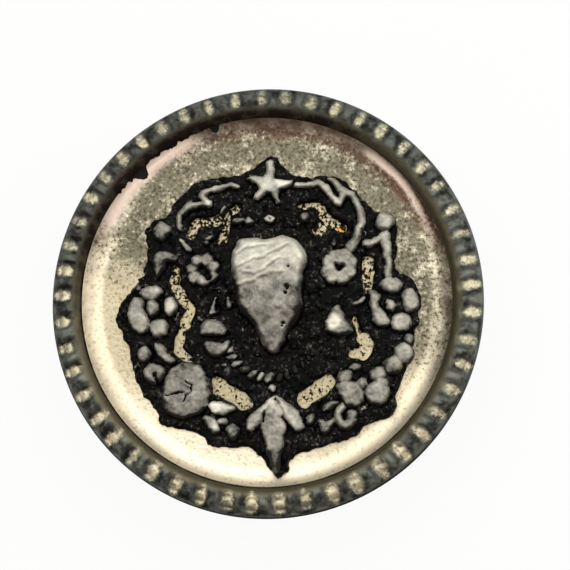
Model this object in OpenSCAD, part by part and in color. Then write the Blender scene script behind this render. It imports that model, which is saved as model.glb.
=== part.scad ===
// Old metal shank button: a notched sheet-metal rim clasps a dished liner with a cast openwork
// wreath on it, a pasteboard packing, a pressed back plate and a wire shank.
// Millimetres. The origin is the centre of the shank's eye, +Z points out of the face,
// +Y is the top of the face, and thread passes through the eye along Y.

/* [Rim] */
// Outside diameter of the rim
rim_d = 32; // [29:0.5:40]
// Radius of the rim's half-round front
bead_r = 1.175; // [1.05:0.025:1.3]
// Thickness of the rim's sheet metal
rim_t = 0.35; // [0.25:0.05:0.45]
// Height of the rim's inner lip above the middle of the half-round
lip_rise = 0.35; // [0.25:0.05:0.45]
// How far the rim's wall leans in towards the back
wall_lean = 0.3; // [0.1:0.05:0.4]
// Width of the turned-in edge that holds the back plate
crimp_w = 1.1; // [0.8:0.1:1.6]
// Chamfer on the rim's back corner
rim_corner = 0.3; // [0.1:0.05:0.4]

/* [Rim notches] */
// Number of notches round the rim
notch_count = 49; // [36:1:56]
// Depth of a notch at the crest
notch_depth = 0.2; // [0.1:0.05:0.25]
// Width of a notch's flat floor
notch_floor_w = 0.5; // [0.3:0.05:0.7]
// Slope of a notch's sides from the floor, in degrees
notch_slope = 50; // [40:5:75]
// Turn of the first notch from the top of the face, in degrees
notch_phase = 6.6; // [0:0.1:7.3]
// Lean of a notch from the crest towards the outside, in degrees
notch_lean = 12; // [0:1:20]

/* [Face liner] */
// Thickness of the liner's sheet
liner_t = 0.25; // [0.2:0.05:0.35]
// Depth of the liner's floor below its edge
dish_depth = 0.85; // [0.6:0.05:1]
// Width of the cove between floor and edge
cove_run = 1.5; // [1.3:0.1:1.8]
// How far the liner's flat edge reaches under the rim's lip
edge_tuck = 1; // [0.6:0.1:1.2]
// Reach of the larger tear in from the rim's lip
tear_reach = 0.85; // [0.5:0.05:1.2]
// Width of the larger tear at the rim's lip
tear_w = 1.4; // [0.8:0.1:2]

/* [Ornament] */
// Thickness of the wreath's pierced ground
ground_t = 0.55; // [0.4:0.05:0.7]
// Height of the flowers and buds above the liner's floor
relief_h = 1.15; // [0.9:0.05:1.3]
// Height of the scroll ribs and leaves above the liner's floor
rib_h = 0.95; // [0.8:0.05:1.1]
// Height of the central boss above the liner's floor
boss_h = 2.2; // [1.6:0.1:2.6]
// Half the distance between the two fixing pins
pin_offset = 4.4; // [3.8:0.1:5]
// Radius of a fixing pin
pin_r = 0.6; // [0.4:0.05:0.8]
// Radius of a fixing pin's upset head
pin_head_r = 0.95; // [0.9:0.05:1.2]
// Thickness of a fixing pin's upset head
pin_head_t = 0.3; // [0.2:0.05:0.4]

/* [Back and shank] */
// Thickness of the back plate
plate_t = 0.4; // [0.3:0.05:0.6]
// Radius of the back plate's raised middle
land_r = 9.5; // [8:0.5:11]
// Height of the step round the raised middle
plate_step = 0.5; // [0.3:0.05:0.6]
// Diameter of the shank's wire
wire_d = 1.1; // [0.9:0.05:1.3]
// Inside radius of the shank's eye
eye_r = 1.6; // [1.3:0.1:2]
// Distance from the eye's centre to the back plate
shank_stand = 2.2; // [1.8:0.1:3]
// Straight length of each foot inside the back plate
foot_len = 1.6; // [1:0.1:2]

/* [Clearances] */
// Gap between the shank's wire and its hole
wire_clear = 0.03; // [0.02:0.01:0.06]
// Gap below and above the shank's feet
foot_clear = 0.075; // [0.05:0.005:0.15]
// Gap between a fixing pin and its hole
pin_clear = 0.05; // [0.03:0.01:0.1]
// Gap round the edge of the back plate
edge_clear = 0.1; // [0.05:0.05:0.2]
// Gap between the packing's bore and what stands in it
bore_clear = 0.4; // [0.2:0.1:0.8]
// Gap between the wreath's ground and the start of the liner's cove
wreath_gap = 0.16; // [0.1:0.02:0.5]

/* [Hidden] */
$fn = 96;

// Levels, from the back to the front
wire_r = wire_d / 2;
land_back_z = shank_stand;
land_front_z = land_back_z + plate_t;
flange_back_z = land_back_z + plate_step;
flange_front_z = land_front_z + plate_step;
crimp_z = flange_back_z - rim_t;
liner_under_z = land_front_z + wire_d + 2 * foot_clear;
floor_z = liner_under_z + liner_t;
lip_z = floor_z + dish_depth;
bead_z = lip_z - lip_rise;

// Radii of the rim and of what it holds
rim_r = rim_d / 2;
bead_ring_r = rim_r - bead_r;
lip_r = bead_ring_r - sqrt(bead_r * bead_r - lip_rise * lip_rise);
wall_in_r = rim_r - wall_lean - rim_t;
plate_r = wall_in_r - edge_clear;
crimp_in_r = wall_in_r - crimp_w;

// The liner's cove is an arc that leaves the floor tangentially and ends just under the lip
cove_tuck = 0.1;
cove_end_r = lip_r + cove_tuck;
floor_r = cove_end_r - cove_run;
cove_turn = 2 * atan(dish_depth / cove_run);
cove_arc_r = cove_run / sin(cove_turn);
cove_steps = 12;
liner_r = lip_r + edge_tuck;

// Points on the cove's arc, as far outside it as the sheet is thick where out is liner_t
function cove(out) = [
    for (i = [0 : cove_steps])
        let (a = cove_turn * i / cove_steps)
        [floor_r + (cove_arc_r + out) * sin(a), floor_z + cove_arc_r - (cove_arc_r + out) * cos(a)]
];

// The underside of the liner turns flat where its own flange begins
cove_under = [for (p = cove(liner_t)) if (p[1] < lip_z - liner_t) p];

// Where the shank's legs and the fixing pins stand
leg_x = eye_r + wire_r;
bend_r = wire_r + wire_clear;
foot_z = land_front_z + foot_clear + wire_r;
foot_end_x = leg_x + bend_r + foot_len;
pin_spots = [[0, pin_offset], [0, -pin_offset]];
filler_bore_r = max(foot_end_x, pin_offset + pin_head_r) + bore_clear;

// Where the motifs of the wreath sit on the face, and the sizes they have there

// Star at the top: its middle, its tips, and an arm's half width at the middle and at the tip
star_at = [0.4, 8.5];
star_tips = [[0.47, 10.05], [1.85, 8.55], [1.05, 7.35], [-0.55, 7.65], [-0.9, 8.85]];
star_arm = [0.48, 0.3];

// Boss: the middle and radius of each of the bulges it runs over, from its lobes to its knob
left_lobe = [[-1.15, 2.75], 1.35];
right_lobe = [[1.8, 2.8], 1.5];
brow = [[0.35, 2.65], 1.5];
waist = [[0.5, -0.1], 2.1];
neck = [[0.55, -2.2], 1.15];
knob = [[0.55, -3.4], 0.75];

// Rosettes: middle, radius of the ring of grains, radius of a grain, number of grains
rosettes = [[[-4.45, 2], 0.66, 0.54, 7], [[5.6, 2.1], 0.62, 0.66, 8]];

// Swag below the boss: its middle, its radius and a grain's half sizes
swag_at = [0.4, -2.45];
swag_r = 3.4;
swag_grain = [0.27, 0.48];

// Drop at the bottom: stalk and tip of its long leaf, that leaf's width, and its two side leaves
drop_stalk = [0.75, -7.3];
drop_tip = [0.95, -12.85];
drop_w = 1.9;
drop_sides = [[[0.9, -7.6], [1.95, -8.3], [2.55, -9.3]], [[0.7, -7.6], [-0.4, -8.3], [-0.95, -9.35]]];
drop_side_arm = [0.45, 0.34];

// Middle, half sizes and turn of each petal, bud and bead
petals = [
    [[-8.25, 0.5], [0.74, 0.54], 0], [[-8.36, -0.66], [0.42, 0.72], 0], [[-6.95, -0.57], [0.5, 0.74], 0],
    [[-7.8, -2.16], [0.72, 0.7], 0], [[9.32, 0.82], [0.8, 0.6], -15], [[9.22, -0.62], [0.42, 0.44], 0],
    [[10.74, -0.45], [0.56, 0.82], 5], [[10.03, -1.88], [0.8, 0.75], 10], [[-8.86, -4.1], [0.54, 0.58], 0],
    [[-8.14, -5.54], [0.8, 0.75], 0], [[10.16, -4.12], [0.7, 0.76], 0], [[9.35, -4.98], [0.72, 0.64], 30],
    [[10.5, -3.15], [0.36, 0.4], 0], [[8.81, 5.45], [0.66, 0.64], 0], [[-7.62, 5.08], [0.68, 0.64], 0],
    [[3, 5.96], [0.34, 0.4], 0], [[-4.19, 4.55], [0.32, 0.22], 25], [[-2.29, -9.76], [0.44, 0.56], 15],
    [[-3, -9.02], [0.44, 0.28], -10], [[3.34, -8.9], [0.3, 0.4], 0], [[-1.55, 5.72], [0.7, 0.3], 0],
    [[0.35, 5.96], [0.36, 0.28], 0], [[5.85, -5.95], [0.68, 0.56], 20], [[6.5, -7.05], [0.98, 0.95], 0],
    [[8.25, -7], [0.9, 0.92], 0], [[8.3, -5.7], [0.72, 0.62], 0], [[6.6, -5.25], [0.55, 0.36], 10],
    [[7.2, -6.4], [0.36, 0.48], 0],
];

// Outlines of the rose, the leaves, the bells and the left cluster
plates = [
    [[-7.35, -6.1], [-6.9, -5.25], [-5.97, -4.78], [-4.95, -4.95], [-4.15, -5.6], [-4, -6.45], [-4.1, -7.45],
        [-4.5, -8.32], [-5.48, -8.7], [-6.6, -8.74], [-7.28, -8.17], [-7.43, -7.19]],
    [[-8.1, -3.25], [-7.44, -3.45], [-6.5, -4.62], [-7.05, -4.9], [-7.95, -4]],
    [[-4.14, -7.75], [-3.52, -7.55], [-2, -8.17], [-2.78, -8.5], [-3.9, -8.2]],
    [[-4.75, -2.6], [-4.55, -1.9], [-3.9, -1.55], [-3.1, -1.75], [-2.7, -2.4], [-3, -2.75], [-4, -2.8]],
    [[-4.55, -3.3], [-3.4, -3.3], [-2.5, -2.95], [-2.6, -3.6], [-3.2, -4.2], [-4, -4.1]],
    [[3.92, -8.9], [4.44, -9.02], [5.04, -8.82], [4.92, -9.6], [4.44, -9.92], [4, -9.6]],
    [[4.15, -8.35], [4.75, -7.68], [5.42, -7.66], [4.85, -8.25]],
    [[4.6, -2.6], [4.84, -1.1], [5.3, -0.6], [5.8, -0.95], [6.55, -2.55], [5.75, -2.75]],
    [[-8.12, 3.47], [-7.43, 3.64], [-6.78, 3.38], [-6.66, 2.85], [-7.3, 2.7], [-8, 1.5], [-8.28, 2.61]],
];

// Path and half widths at the two ends of each scroll, twig and crescent petal
ribs = [
    [[[-1.72, 8.2], [-2.3, 8.34], [-3.1, 8.26], [-4.05, 8.05]], 0.22, 0.3],
    [[[-4.05, 8.05], [-4.5, 7.7], [-4, 7.1]], 0.32, 0.35],
    [[[-4.2, 6.98], [-5.2, 6.88], [-5.95, 6.45], [-6.2, 5.9], [-6.25, 5.35]], 0.26, 0.22],
    [[[2.45, 8.27], [3.2, 8.39], [4, 8.42], [4.45, 8.1], [5.5, 6.76]], 0.23, 0.32],
    [[[5.5, 6.76], [5.83, 7.7]], 0.31, 0.31],
    [[[5.7, 7.88], [6.6, 7.14], [7.17, 5.83], [7.11, 5.17]], 0.34, 0.31],
    [[[7.11, 5.17], [6.68, 4.06], [6.3, 3.65]], 0.31, 0.4],
    [[[7.47, 3.92], [8.19, 4.12], [8.85, 4.5]], 0.35, 0.39],
    [[[8.95, 4.45], [9.15, 2.6], [9.05, 1.6]], 0.46, 0.3],
    [[[5.79, -7.97], [5.42, -8.53], [5.55, -9.1], [6.04, -9.34], [6.53, -9.02], [6.65, -8.46]], 0.36, 0.42],
    [[[6.73, -0.56], [7.25, -0.06]], 0.2, 0.25],
    [[[-3.9, -1.2], [-3.8, -0.75], [-3.5, 0.1]], 0.34, 0.16],
    [[[-2.65, -0.6], [-2.6, -0.15]], 0.26, 0.22],
    [[[-6.31, 4.42], [-5.71, 3.79]], 0.2, 0.27],
    [[[-9.55, -0.45], [-9.5, -1.2], [-9.1, -1.95]], 0.52, 0.6],
    [[[8.1, -0.15], [8.1, -0.9], [8.6, -1.75]], 0.42, 0.52],
    [[[-4.5, -8.85], [-4.15, -9.4], [-3.6, -9.75]], 0.3, 0.25],
];

// Path and half width of each opening through the ground
openings = [
    [[[-5.5, 4.95], [-5.35, 5.6], [-4.8, 5.95], [-4.1, 5.9], [-2.95, 6.3]], 0.38],
    [[[-2.95, 6.3], [-2.9, 5.5], [-3.25, 4.45]], 0.32],
    [[[-2.95, 6.3], [-2.1, 7]], 0.26],
    [[[2.7, 7], [3.7, 7.1], [4.4, 6.75]], 0.22],
    [[[4.25, 6.6], [4.7, 5.9], [4, 5.05]], 0.38],
    [[[4.6, 5.7], [5.3, 5.6], [5.75, 5.3]], 0.36],
    [[[-6.5, 2.3], [-6.5, 1.2], [-6.05, 0.25], [-5.35, -0.6]], 0.42],
    [[[-5.35, -0.6], [-6.3, -2.9], [-6.45, -3.75], [-5.8, -4.3]], 0.42],
    [[[7.7, 2.8], [7.65, 0.75]], 0.4],
    [[[6.9, -2.2], [7.5, -3.1], [7.2, -4.15], [6.6, -4]], 0.42],
    [[[-3.3, -6.2], [-1.15, -7.6]], 0.55],
    [[[4.5, -6.3], [2.8, -7.5]], 0.65],
];

// Path and half width of each pad of ground under the motifs
pads = [
    [[[0.4, -0.7]], 9.3],
    [[[-8.6, -1.1]], 2.4],
    [[[9.4, -0.7]], 2.3],
    [[[-6.1, -7.05]], 2.5],
    [[[7.3, -6.85]], 2.12],
    [[[-7.9, 5.1], [-7.9, 2.2]], 0.95],
    [[[-6.1, 5.8], [-5.9, 6.9], [-4.9, 8], [-3.1, 8.5], [-1.5, 8.6], [0.45, 9.7]], 0.8],
    [[[0.45, 9.9], [1.2, 8.7]], 0.95],
    [[[1.2, 8.7], [2.3, 8.35], [4.2, 8.45], [5.6, 8.1], [6.6, 7.1], [7.1, 5.9]], 0.76],
    [[[8.85, 5.4], [9, 3.6], [9.05, 1.8]], 0.9],
    [[[10.2, -2.5], [10.1, -4.1], [9.35, -5]], 1.05],
    [[[6.05, -9.15], [4.4, -9.75], [2.4, -10.2]], 1.15],
    [[[0.2, -10.2], [-2.2, -9.85], [-4.2, -9.2]], 1.15],
    [[[-9.3, -2.9], [-8.8, -4.1], [-8.2, -5.6]], 1.2],
];

// The drawing is set to the liner's floor by the farthest edge of its ground
drawn_reach = max([for (p = pads) for (at = p[0]) norm(at) + p[1]]);
plan_k = (floor_r - wreath_gap) / drawn_reach;
root_z = ground_t / 2;

// Share of a plate's outline left at its top, and how finely curves are drawn
plate_top = 0.84;
curve_steps = 3;
low = 12;
pad_sides = 24;
smooth = 20;

// Rim: half-round front, leaning wall and turned-in back edge, with notches across the crest

module half_round_section() {
    difference() {
        translate([bead_ring_r, bead_z]) circle(r = bead_r);
        translate([bead_ring_r, bead_z]) circle(r = bead_r - rim_t);
        translate([0, bead_z - 2 * bead_r]) square([bead_ring_r, 2 * bead_r + lip_rise]);
        translate([0, bead_z - 2 * bead_r]) square([rim_d, 2 * bead_r]);
    }
}

// The wall's top has a ridge that stands inside the half-round's sheet, so that the two are one piece
module wall_section() {
    polygon([
        [rim_r, bead_z],
        [rim_r - wall_lean, crimp_z + rim_corner],
        [rim_r - wall_lean - rim_corner, crimp_z],
        [crimp_in_r, crimp_z],
        [crimp_in_r, flange_back_z],
        [wall_in_r, flange_back_z],
        [rim_r - rim_t, bead_z],
        [rim_r - rim_t * 0.75, bead_z],
        [rim_r - rim_t * 0.5, bead_z + rim_t / 2],
        [rim_r - rim_t * 0.25, bead_z],
    ]);
}

module notch_cut() {
    rise = 2 * notch_depth;
    spread = rise / tan(notch_slope);
    half = notch_floor_w / 2;
    translate([0, bead_ring_r, bead_z])
        rotate([-notch_lean, 0, 0])
            translate([0, -bead_r, bead_r - notch_depth])
                rotate([-90, 0, 0])
                    linear_extrude(2 * bead_r)
                        polygon([[-half, 0], [half, 0], [half + spread, -rise], [-half - spread, -rise]]);
}

module rim() {
    color("dimgray")
        difference() {
            union() {
                rotate_extrude() half_round_section();
                rotate_extrude() wall_section();
            }
            for (i = [0 : notch_count - 1])
                rotate(-notch_phase - i * 360 / notch_count) notch_cut();
        }
}

// Face liner: dished sheet with two tears at its upper left edge and a hole for each fixing pin

module tear_cut(bearing, reach, width) {
    rotate(-bearing)
        translate([0, lip_r, floor_z - liner_t])
            linear_extrude(dish_depth + 3 * liner_t)
                polygon([[-width * 0.6, edge_tuck + 1], [-width / 2, 0], [-width * 0.1, -reach],
                    [width * 0.15, -reach * 0.85], [width / 2, 0], [width * 0.6, edge_tuck + 1]]);
}

module face_dish() {
    color("tan")
        difference() {
            rotate_extrude()
                polygon(concat(
                    [[0, floor_z]],
                    cove(0),
                    [[liner_r, lip_z], [liner_r, lip_z - liner_t]],
                    [for (i = [len(cove_under) - 1 : -1 : 0]) cove_under[i]],
                    [[0, liner_under_z]]
                ));
            tear_cut(316, tear_reach, tear_w);
            tear_cut(344, tear_reach / 2, tear_w * 0.6);
            for (p = pin_spots)
                translate([p[0], p[1], liner_under_z - liner_t])
                    cylinder(r = pin_r + pin_clear, h = 3 * liner_t);
        }
}

// Ornament: its motifs, drawn on the face and raised from the liner's floor

// Closed curve through the given points
function smooth_loop(p) = [
    for (i = [0 : len(p) - 1])
        let (n = len(p), a = p[(i + n - 1) % n], b = p[i], c = p[(i + 1) % n], d = p[(i + 2) % n])
        for (k = [0 : curve_steps - 1])
            let (t = k / curve_steps)
            b + t / 2 * (c - a + t * (2 * a - 5 * b + 4 * c - d + t * (3 * (b - c) + d - a)))
];

function total(p, i = 0) = i == len(p) ? [0, 0] : p[i] + total(p, i + 1);
function middle(p) = total(p) / len(p);

// Flat-topped oval dome rooted in the ground, as a worn petal or bud
module petal(at, half, turn, h) {
    translate([at[0], at[1], 0])
        rotate(turn)
            scale([half[0], half[1], 1])
                rotate_extrude($fn = low)
                    polygon([[0, root_z], [1, root_z], [0.95, h * 0.7], [0.6, h], [0, h]]);
}

module dome(at, r, h) {
    petal(at, [r, r], 0, h);
}

// Ribbon of domes hulled along a path, from one half width to another
module rib(path, from_r, to_r, h) {
    last = len(path) - 1;
    grow = (to_r - from_r) / last;
    for (i = [0 : last - 1])
        hull() {
            dome(path[i], from_r + grow * i, h);
            dome(path[i + 1], from_r + grow * (i + 1), h);
        }
}

// Plate with leaning sides, as a broad leaf or a worn rose
module plate(outline, h) {
    c = middle(outline);
    translate([c[0], c[1], root_z])
        linear_extrude(h - root_z, scale = plate_top)
            translate(-c) polygon(smooth_loop(outline));
}

// Leaf with a keel, from its stalk to its tip
module leaf(stalk, tip, w, h) {
    reach = norm(tip - stalk);
    turn = atan2(tip[1] - stalk[1], tip[0] - stalk[0]);
    translate([stalk[0], stalk[1], root_z])
        rotate(turn)
            hull() {
                linear_extrude((h - root_z) / 2)
                    polygon([[0, -w * 0.22], [reach * 0.35, -w / 2], [reach * 0.7, -w * 0.32], [reach, 0],
                        [reach * 0.7, w * 0.32], [reach * 0.35, w / 2], [0, w * 0.22]]);
                translate([reach * 0.12, -w * 0.1, 0]) cube([reach * 0.5, w * 0.2, h - root_z]);
            }
}

// Rosette of grains that run together round a small hollow
module rosette(at, ring_r, grain_r, grains) {
    for (i = [0 : grains - 1])
        dome(at + ring_r * [cos(360 * i / grains), sin(360 * i / grains)], grain_r, rib_h);
}

// Stroke on the face, for an opening or a pad of ground; one point alone gives a disc
module stroke(path, r) {
    for (i = [0 : max(len(path) - 2, 0)])
        hull() {
            translate(path[i]) circle(r = r, $fn = pad_sides);
            translate(path[min(i + 1, len(path) - 1)]) circle(r = r, $fn = pad_sides);
        }
}

module ground() {
    linear_extrude(ground_t)
        difference() {
            for (p = pads) stroke(p[0], p[1]);
            for (o = openings) stroke(o[0], o[1]);
        }
}

module star() {
    for (tip = star_tips) rib([star_at, tip], star_arm[0], star_arm[1], relief_h);
}

// Drop of three leaves whose long tip stands out over the liner's cove
module drop() {
    leaf(drop_stalk, drop_tip, drop_w, relief_h * 1.1);
    for (path = drop_sides) rib(path, drop_side_arm[0], drop_side_arm[1], relief_h);
}

// Swag of slanting grains below the boss
module swag() {
    grains = 12;
    for (i = [0 : grains - 1])
        let (a = 203 + 134 * i / (grains - 1))
        petal(swag_at + swag_r * [cos(a), sin(a)], swag_grain, a + 60, rib_h * 0.85);
}

// Half-buried oval bulge of a given middle and radius
module bulge(b, h) {
    translate([b[0][0], b[0][1], root_z]) scale([b[1], b[1], h - root_z]) sphere(1, $fn = smooth);
}

// Heart-shaped boss that tapers to a knob
module boss() {
    for (lobe = [left_lobe, right_lobe])
        hull() {
            bulge(lobe, boss_h);
            bulge(brow, boss_h * 0.97);
            bulge(waist, boss_h * 0.97);
        }
    hull() {
        bulge(waist, boss_h * 0.97);
        bulge(neck, boss_h * 0.78);
    }
    hull() {
        bulge(neck, boss_h * 0.78);
        bulge(knob, boss_h * 0.6);
    }
}

module wreath() {
    ground();
    star();
    for (p = petals) petal(p[0], p[1], p[2], relief_h);
    for (p = plates) plate(p, relief_h);
    for (r = ribs) rib(r[0], r[1], r[2], rib_h);
    for (r = rosettes) rosette(r[0], r[1], r[2], r[3]);
    drop();
    swag();
    boss();
}

module ornament() {
    color("darkslategray") {
        translate([0, 0, floor_z])
            intersection() {
                scale([plan_k, plan_k, 1]) wreath();
                cylinder(r = rim_r, h = 2 * boss_h);
            }
        for (p = pin_spots) {
            translate([p[0], p[1], liner_under_z - pin_head_t / 2])
                cylinder(r = pin_r, h = liner_t + pin_head_t / 2 + ground_t / 2);
            translate([p[0], p[1], liner_under_z - pin_head_t])
                cylinder(r = pin_head_r, h = pin_head_t);
        }
    }
}

// Packing: pasteboard ring moulded to the underside of the liner

module card_filler() {
    color("saddlebrown")
        rotate_extrude()
            polygon(concat(
                [[filler_bore_r, flange_front_z], [filler_bore_r, liner_under_z]],
                cove_under,
                [[liner_r, lip_z - liner_t], [liner_r, flange_front_z]]
            ));
}

// Back plate: pressed disc with a raised middle and two holes for the shank

module back_plate() {
    run = plate_step;
    color("darkgray")
        difference() {
            rotate_extrude()
                polygon([
                    [0, land_back_z],
                    [land_r, land_back_z],
                    [land_r + run, flange_back_z],
                    [plate_r, flange_back_z],
                    [plate_r, flange_front_z],
                    [land_r + run - plate_t / 2, flange_front_z],
                    [land_r - plate_t / 2, land_front_z],
                    [0, land_front_z],
                ]);
            for (side = [-1, 1])
                translate([side * leg_x, 0, land_back_z - plate_t])
                    cylinder(r = wire_r + wire_clear, h = 3 * plate_t);
        }
}

// Shank: half-round eye, two legs through the back plate and two feet turned out inside it

module shank_half() {
    leg_top_z = foot_z - bend_r;
    rotate([-90, 0, 0])
        rotate_extrude(angle = 90) translate([leg_x, 0]) circle(r = wire_r);
    translate([leg_x, 0, 0]) cylinder(r = wire_r, h = leg_top_z);
    translate([leg_x + bend_r, 0, leg_top_z])
        rotate([90, 0, 0])
            rotate([0, 0, 90]) rotate_extrude(angle = 90) translate([bend_r, 0]) circle(r = wire_r);
    translate([leg_x + bend_r, 0, foot_z]) rotate([0, 90, 0]) cylinder(r = wire_r, h = foot_len);
}

module shank_loop() {
    color("silver") {
        shank_half();
        mirror([1, 0, 0]) shank_half();
    }
}

rim();
face_dish();
ornament();
card_filler();
back_plate();
shank_loop();
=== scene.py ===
import math
import bpy
import numpy as np
from mathutils import Matrix, Vector
from mathutils.geometry import delaunay_2d_cdt


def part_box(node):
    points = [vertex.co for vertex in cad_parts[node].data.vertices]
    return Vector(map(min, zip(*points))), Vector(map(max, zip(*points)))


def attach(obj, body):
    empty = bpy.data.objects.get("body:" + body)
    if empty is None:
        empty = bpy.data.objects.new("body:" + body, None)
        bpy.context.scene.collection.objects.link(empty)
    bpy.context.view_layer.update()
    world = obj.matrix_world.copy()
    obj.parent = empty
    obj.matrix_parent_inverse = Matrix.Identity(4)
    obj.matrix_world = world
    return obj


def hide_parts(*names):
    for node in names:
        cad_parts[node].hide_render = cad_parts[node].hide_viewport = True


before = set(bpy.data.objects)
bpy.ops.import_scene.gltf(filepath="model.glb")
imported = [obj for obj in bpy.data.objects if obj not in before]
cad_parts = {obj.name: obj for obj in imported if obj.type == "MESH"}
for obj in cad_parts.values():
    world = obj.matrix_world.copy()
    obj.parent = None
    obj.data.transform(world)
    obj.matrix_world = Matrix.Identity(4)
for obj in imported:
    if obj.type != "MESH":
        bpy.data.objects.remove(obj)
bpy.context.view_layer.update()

scene = bpy.context.scene
mm = 0.001  # sizes here are millimetres, Blender's are metres
rimLow, rimHigh = (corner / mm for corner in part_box("rim"))
linerLow, linerHigh = (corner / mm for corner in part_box("face_dish"))
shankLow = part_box("shank_loop")[0] / mm
print("frame loaded:", ", ".join(sorted(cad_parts)))


# small tools

def hexLinear(code):
    parts = [int(code[i:i + 2], 16) / 255 for i in (1, 3, 5)]
    return [c / 12.92 if c <= 0.04045 else ((c + 0.055) / 1.055) ** 2.4 for c in parts] + [1.0]


def addNode(tree, kind, settings, links):
    node = tree.nodes.new("ShaderNode" + kind)
    for key, value in settings.items():
        if isinstance(key, str) and hasattr(node, key):
            setattr(node, key, value)
        else:
            node.inputs[key].default_value = value
    for key, source in links.items():
        tree.links.new(source, node.inputs[key])
    return node


smoothly = {"interpolation_type": "SMOOTHSTEP"}  # settings that many nodes share
inColour = {"data_type": "RGBA"}


def perSize(size):
    return 1 / (size * mm)  # texture scale that gives a pattern of this size in mm


def ease(x, low, high):
    t = np.clip((x - low) / (high - low), 0, 1)
    return t * t * (3 - 2 * t)


def lumps(x, y, size, seed):
    count = 97  # cells before the pattern repeats
    u, v = x / size, y / size
    i, j = np.floor(u).astype(int), np.floor(v).astype(int)
    s, t = ease(u - i, 0, 1), ease(v - j, 0, 1)
    table = np.random.default_rng(seed).random((count, count)) * 2 - 1
    i0, j0, i1, j1 = i % count, j % count, (i + 1) % count, (j + 1) % count
    low = table[i0, j0] * (1 - s) + table[i1, j0] * s
    high = table[i0, j1] * (1 - s) + table[i1, j1] * s
    return low * (1 - t) + high * t


def bearingOf(x, y):
    return np.degrees(np.arctan2(x, y)) % 360  # clockwise from the top of the face


def bearingGap(bearing, at):
    return np.abs((bearing - at + 180) % 360 - 180)


def sector(bearing, at, full, none):  # half spans where a mark is full and where it has gone
    return 1 - ease(bearingGap(bearing, at), full, none)


# distances on the face: negative inside the shape

farOff = 1e3  # millimetres, beyond every shape


def ellipseDistance(x, y, at, half, turn=0):
    c, s = math.cos(math.radians(turn)), math.sin(math.radians(turn))
    u = (x - at[0]) * c + (y - at[1]) * s
    v = (y - at[1]) * c - (x - at[0]) * s
    near = np.hypot(u / half[0], v / half[1]) + 1e-9
    slope = np.hypot(u / half[0] ** 2, v / half[1] ** 2) + 1e-9
    return near * (near - 1) / slope


def strokeDistance(x, y, path, start, end):  # half widths at the two ends
    best = np.full(np.shape(x), farOff)
    count = len(path) - 1
    for k, ((x0, y0), (x1, y1)) in enumerate(zip(path, path[1:])):
        ex, ey = x1 - x0, y1 - y0
        t = np.clip(((x - x0) * ex + (y - y0) * ey) / (ex * ex + ey * ey), 0, 1)
        half = start + (end - start) * (k + t) / count
        best = np.minimum(best, np.hypot(x - x0 - t * ex, y - y0 - t * ey) - half)
    return best


def outlineDistance(x, y, points):
    best = np.full(np.shape(x), farOff)
    sign = np.ones(np.shape(x))
    for (x0, y0), (x1, y1) in zip(points, points[1:] + points[:1]):
        ex, ey = x1 - x0, y1 - y0
        t = np.clip(((x - x0) * ex + (y - y0) * ey) / (ex * ex + ey * ey), 0, 1)
        best = np.minimum(best, np.hypot(x - x0 - t * ex, y - y0 - t * ey))
        spans = (y0 > y) != (y1 > y)
        sign = np.where(spans & (x < x0 + (y - y0) * ex / (ey if ey else 1e-9)), -sign, sign)
    return best * sign


def curve(path, closed=False, steps=5):
    count = len(path)
    ends = range(count if closed else count - 1)
    made = []
    for i in ends:
        around = [path[(i + k) % count if closed else min(max(i + k, 0), count - 1)] for k in (-1, 0, 1, 2)]
        a, b, c, d = (np.array(p, float) for p in around)
        for k in range(steps):
            t = k / steps
            bend = 2 * a - 5 * b + 4 * c - d + t * (3 * b - 3 * c + d - a)
            made.append(tuple(b + t / 2 * (c - a + t * bend)))
    return made if closed else made + [tuple(path[-1])]


# meshes

def closeCorners(cells):
    for k in range(8):
        a, b, c, d = cells[:-1, :-1], cells[1:, :-1], cells[:-1, 1:], cells[1:, 1:]
        rising, falling = a & d & ~b & ~c, b & c & ~a & ~d
        cells[1:, :-1] |= rising
        cells[:-1, :-1] |= falling
    return cells


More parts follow.
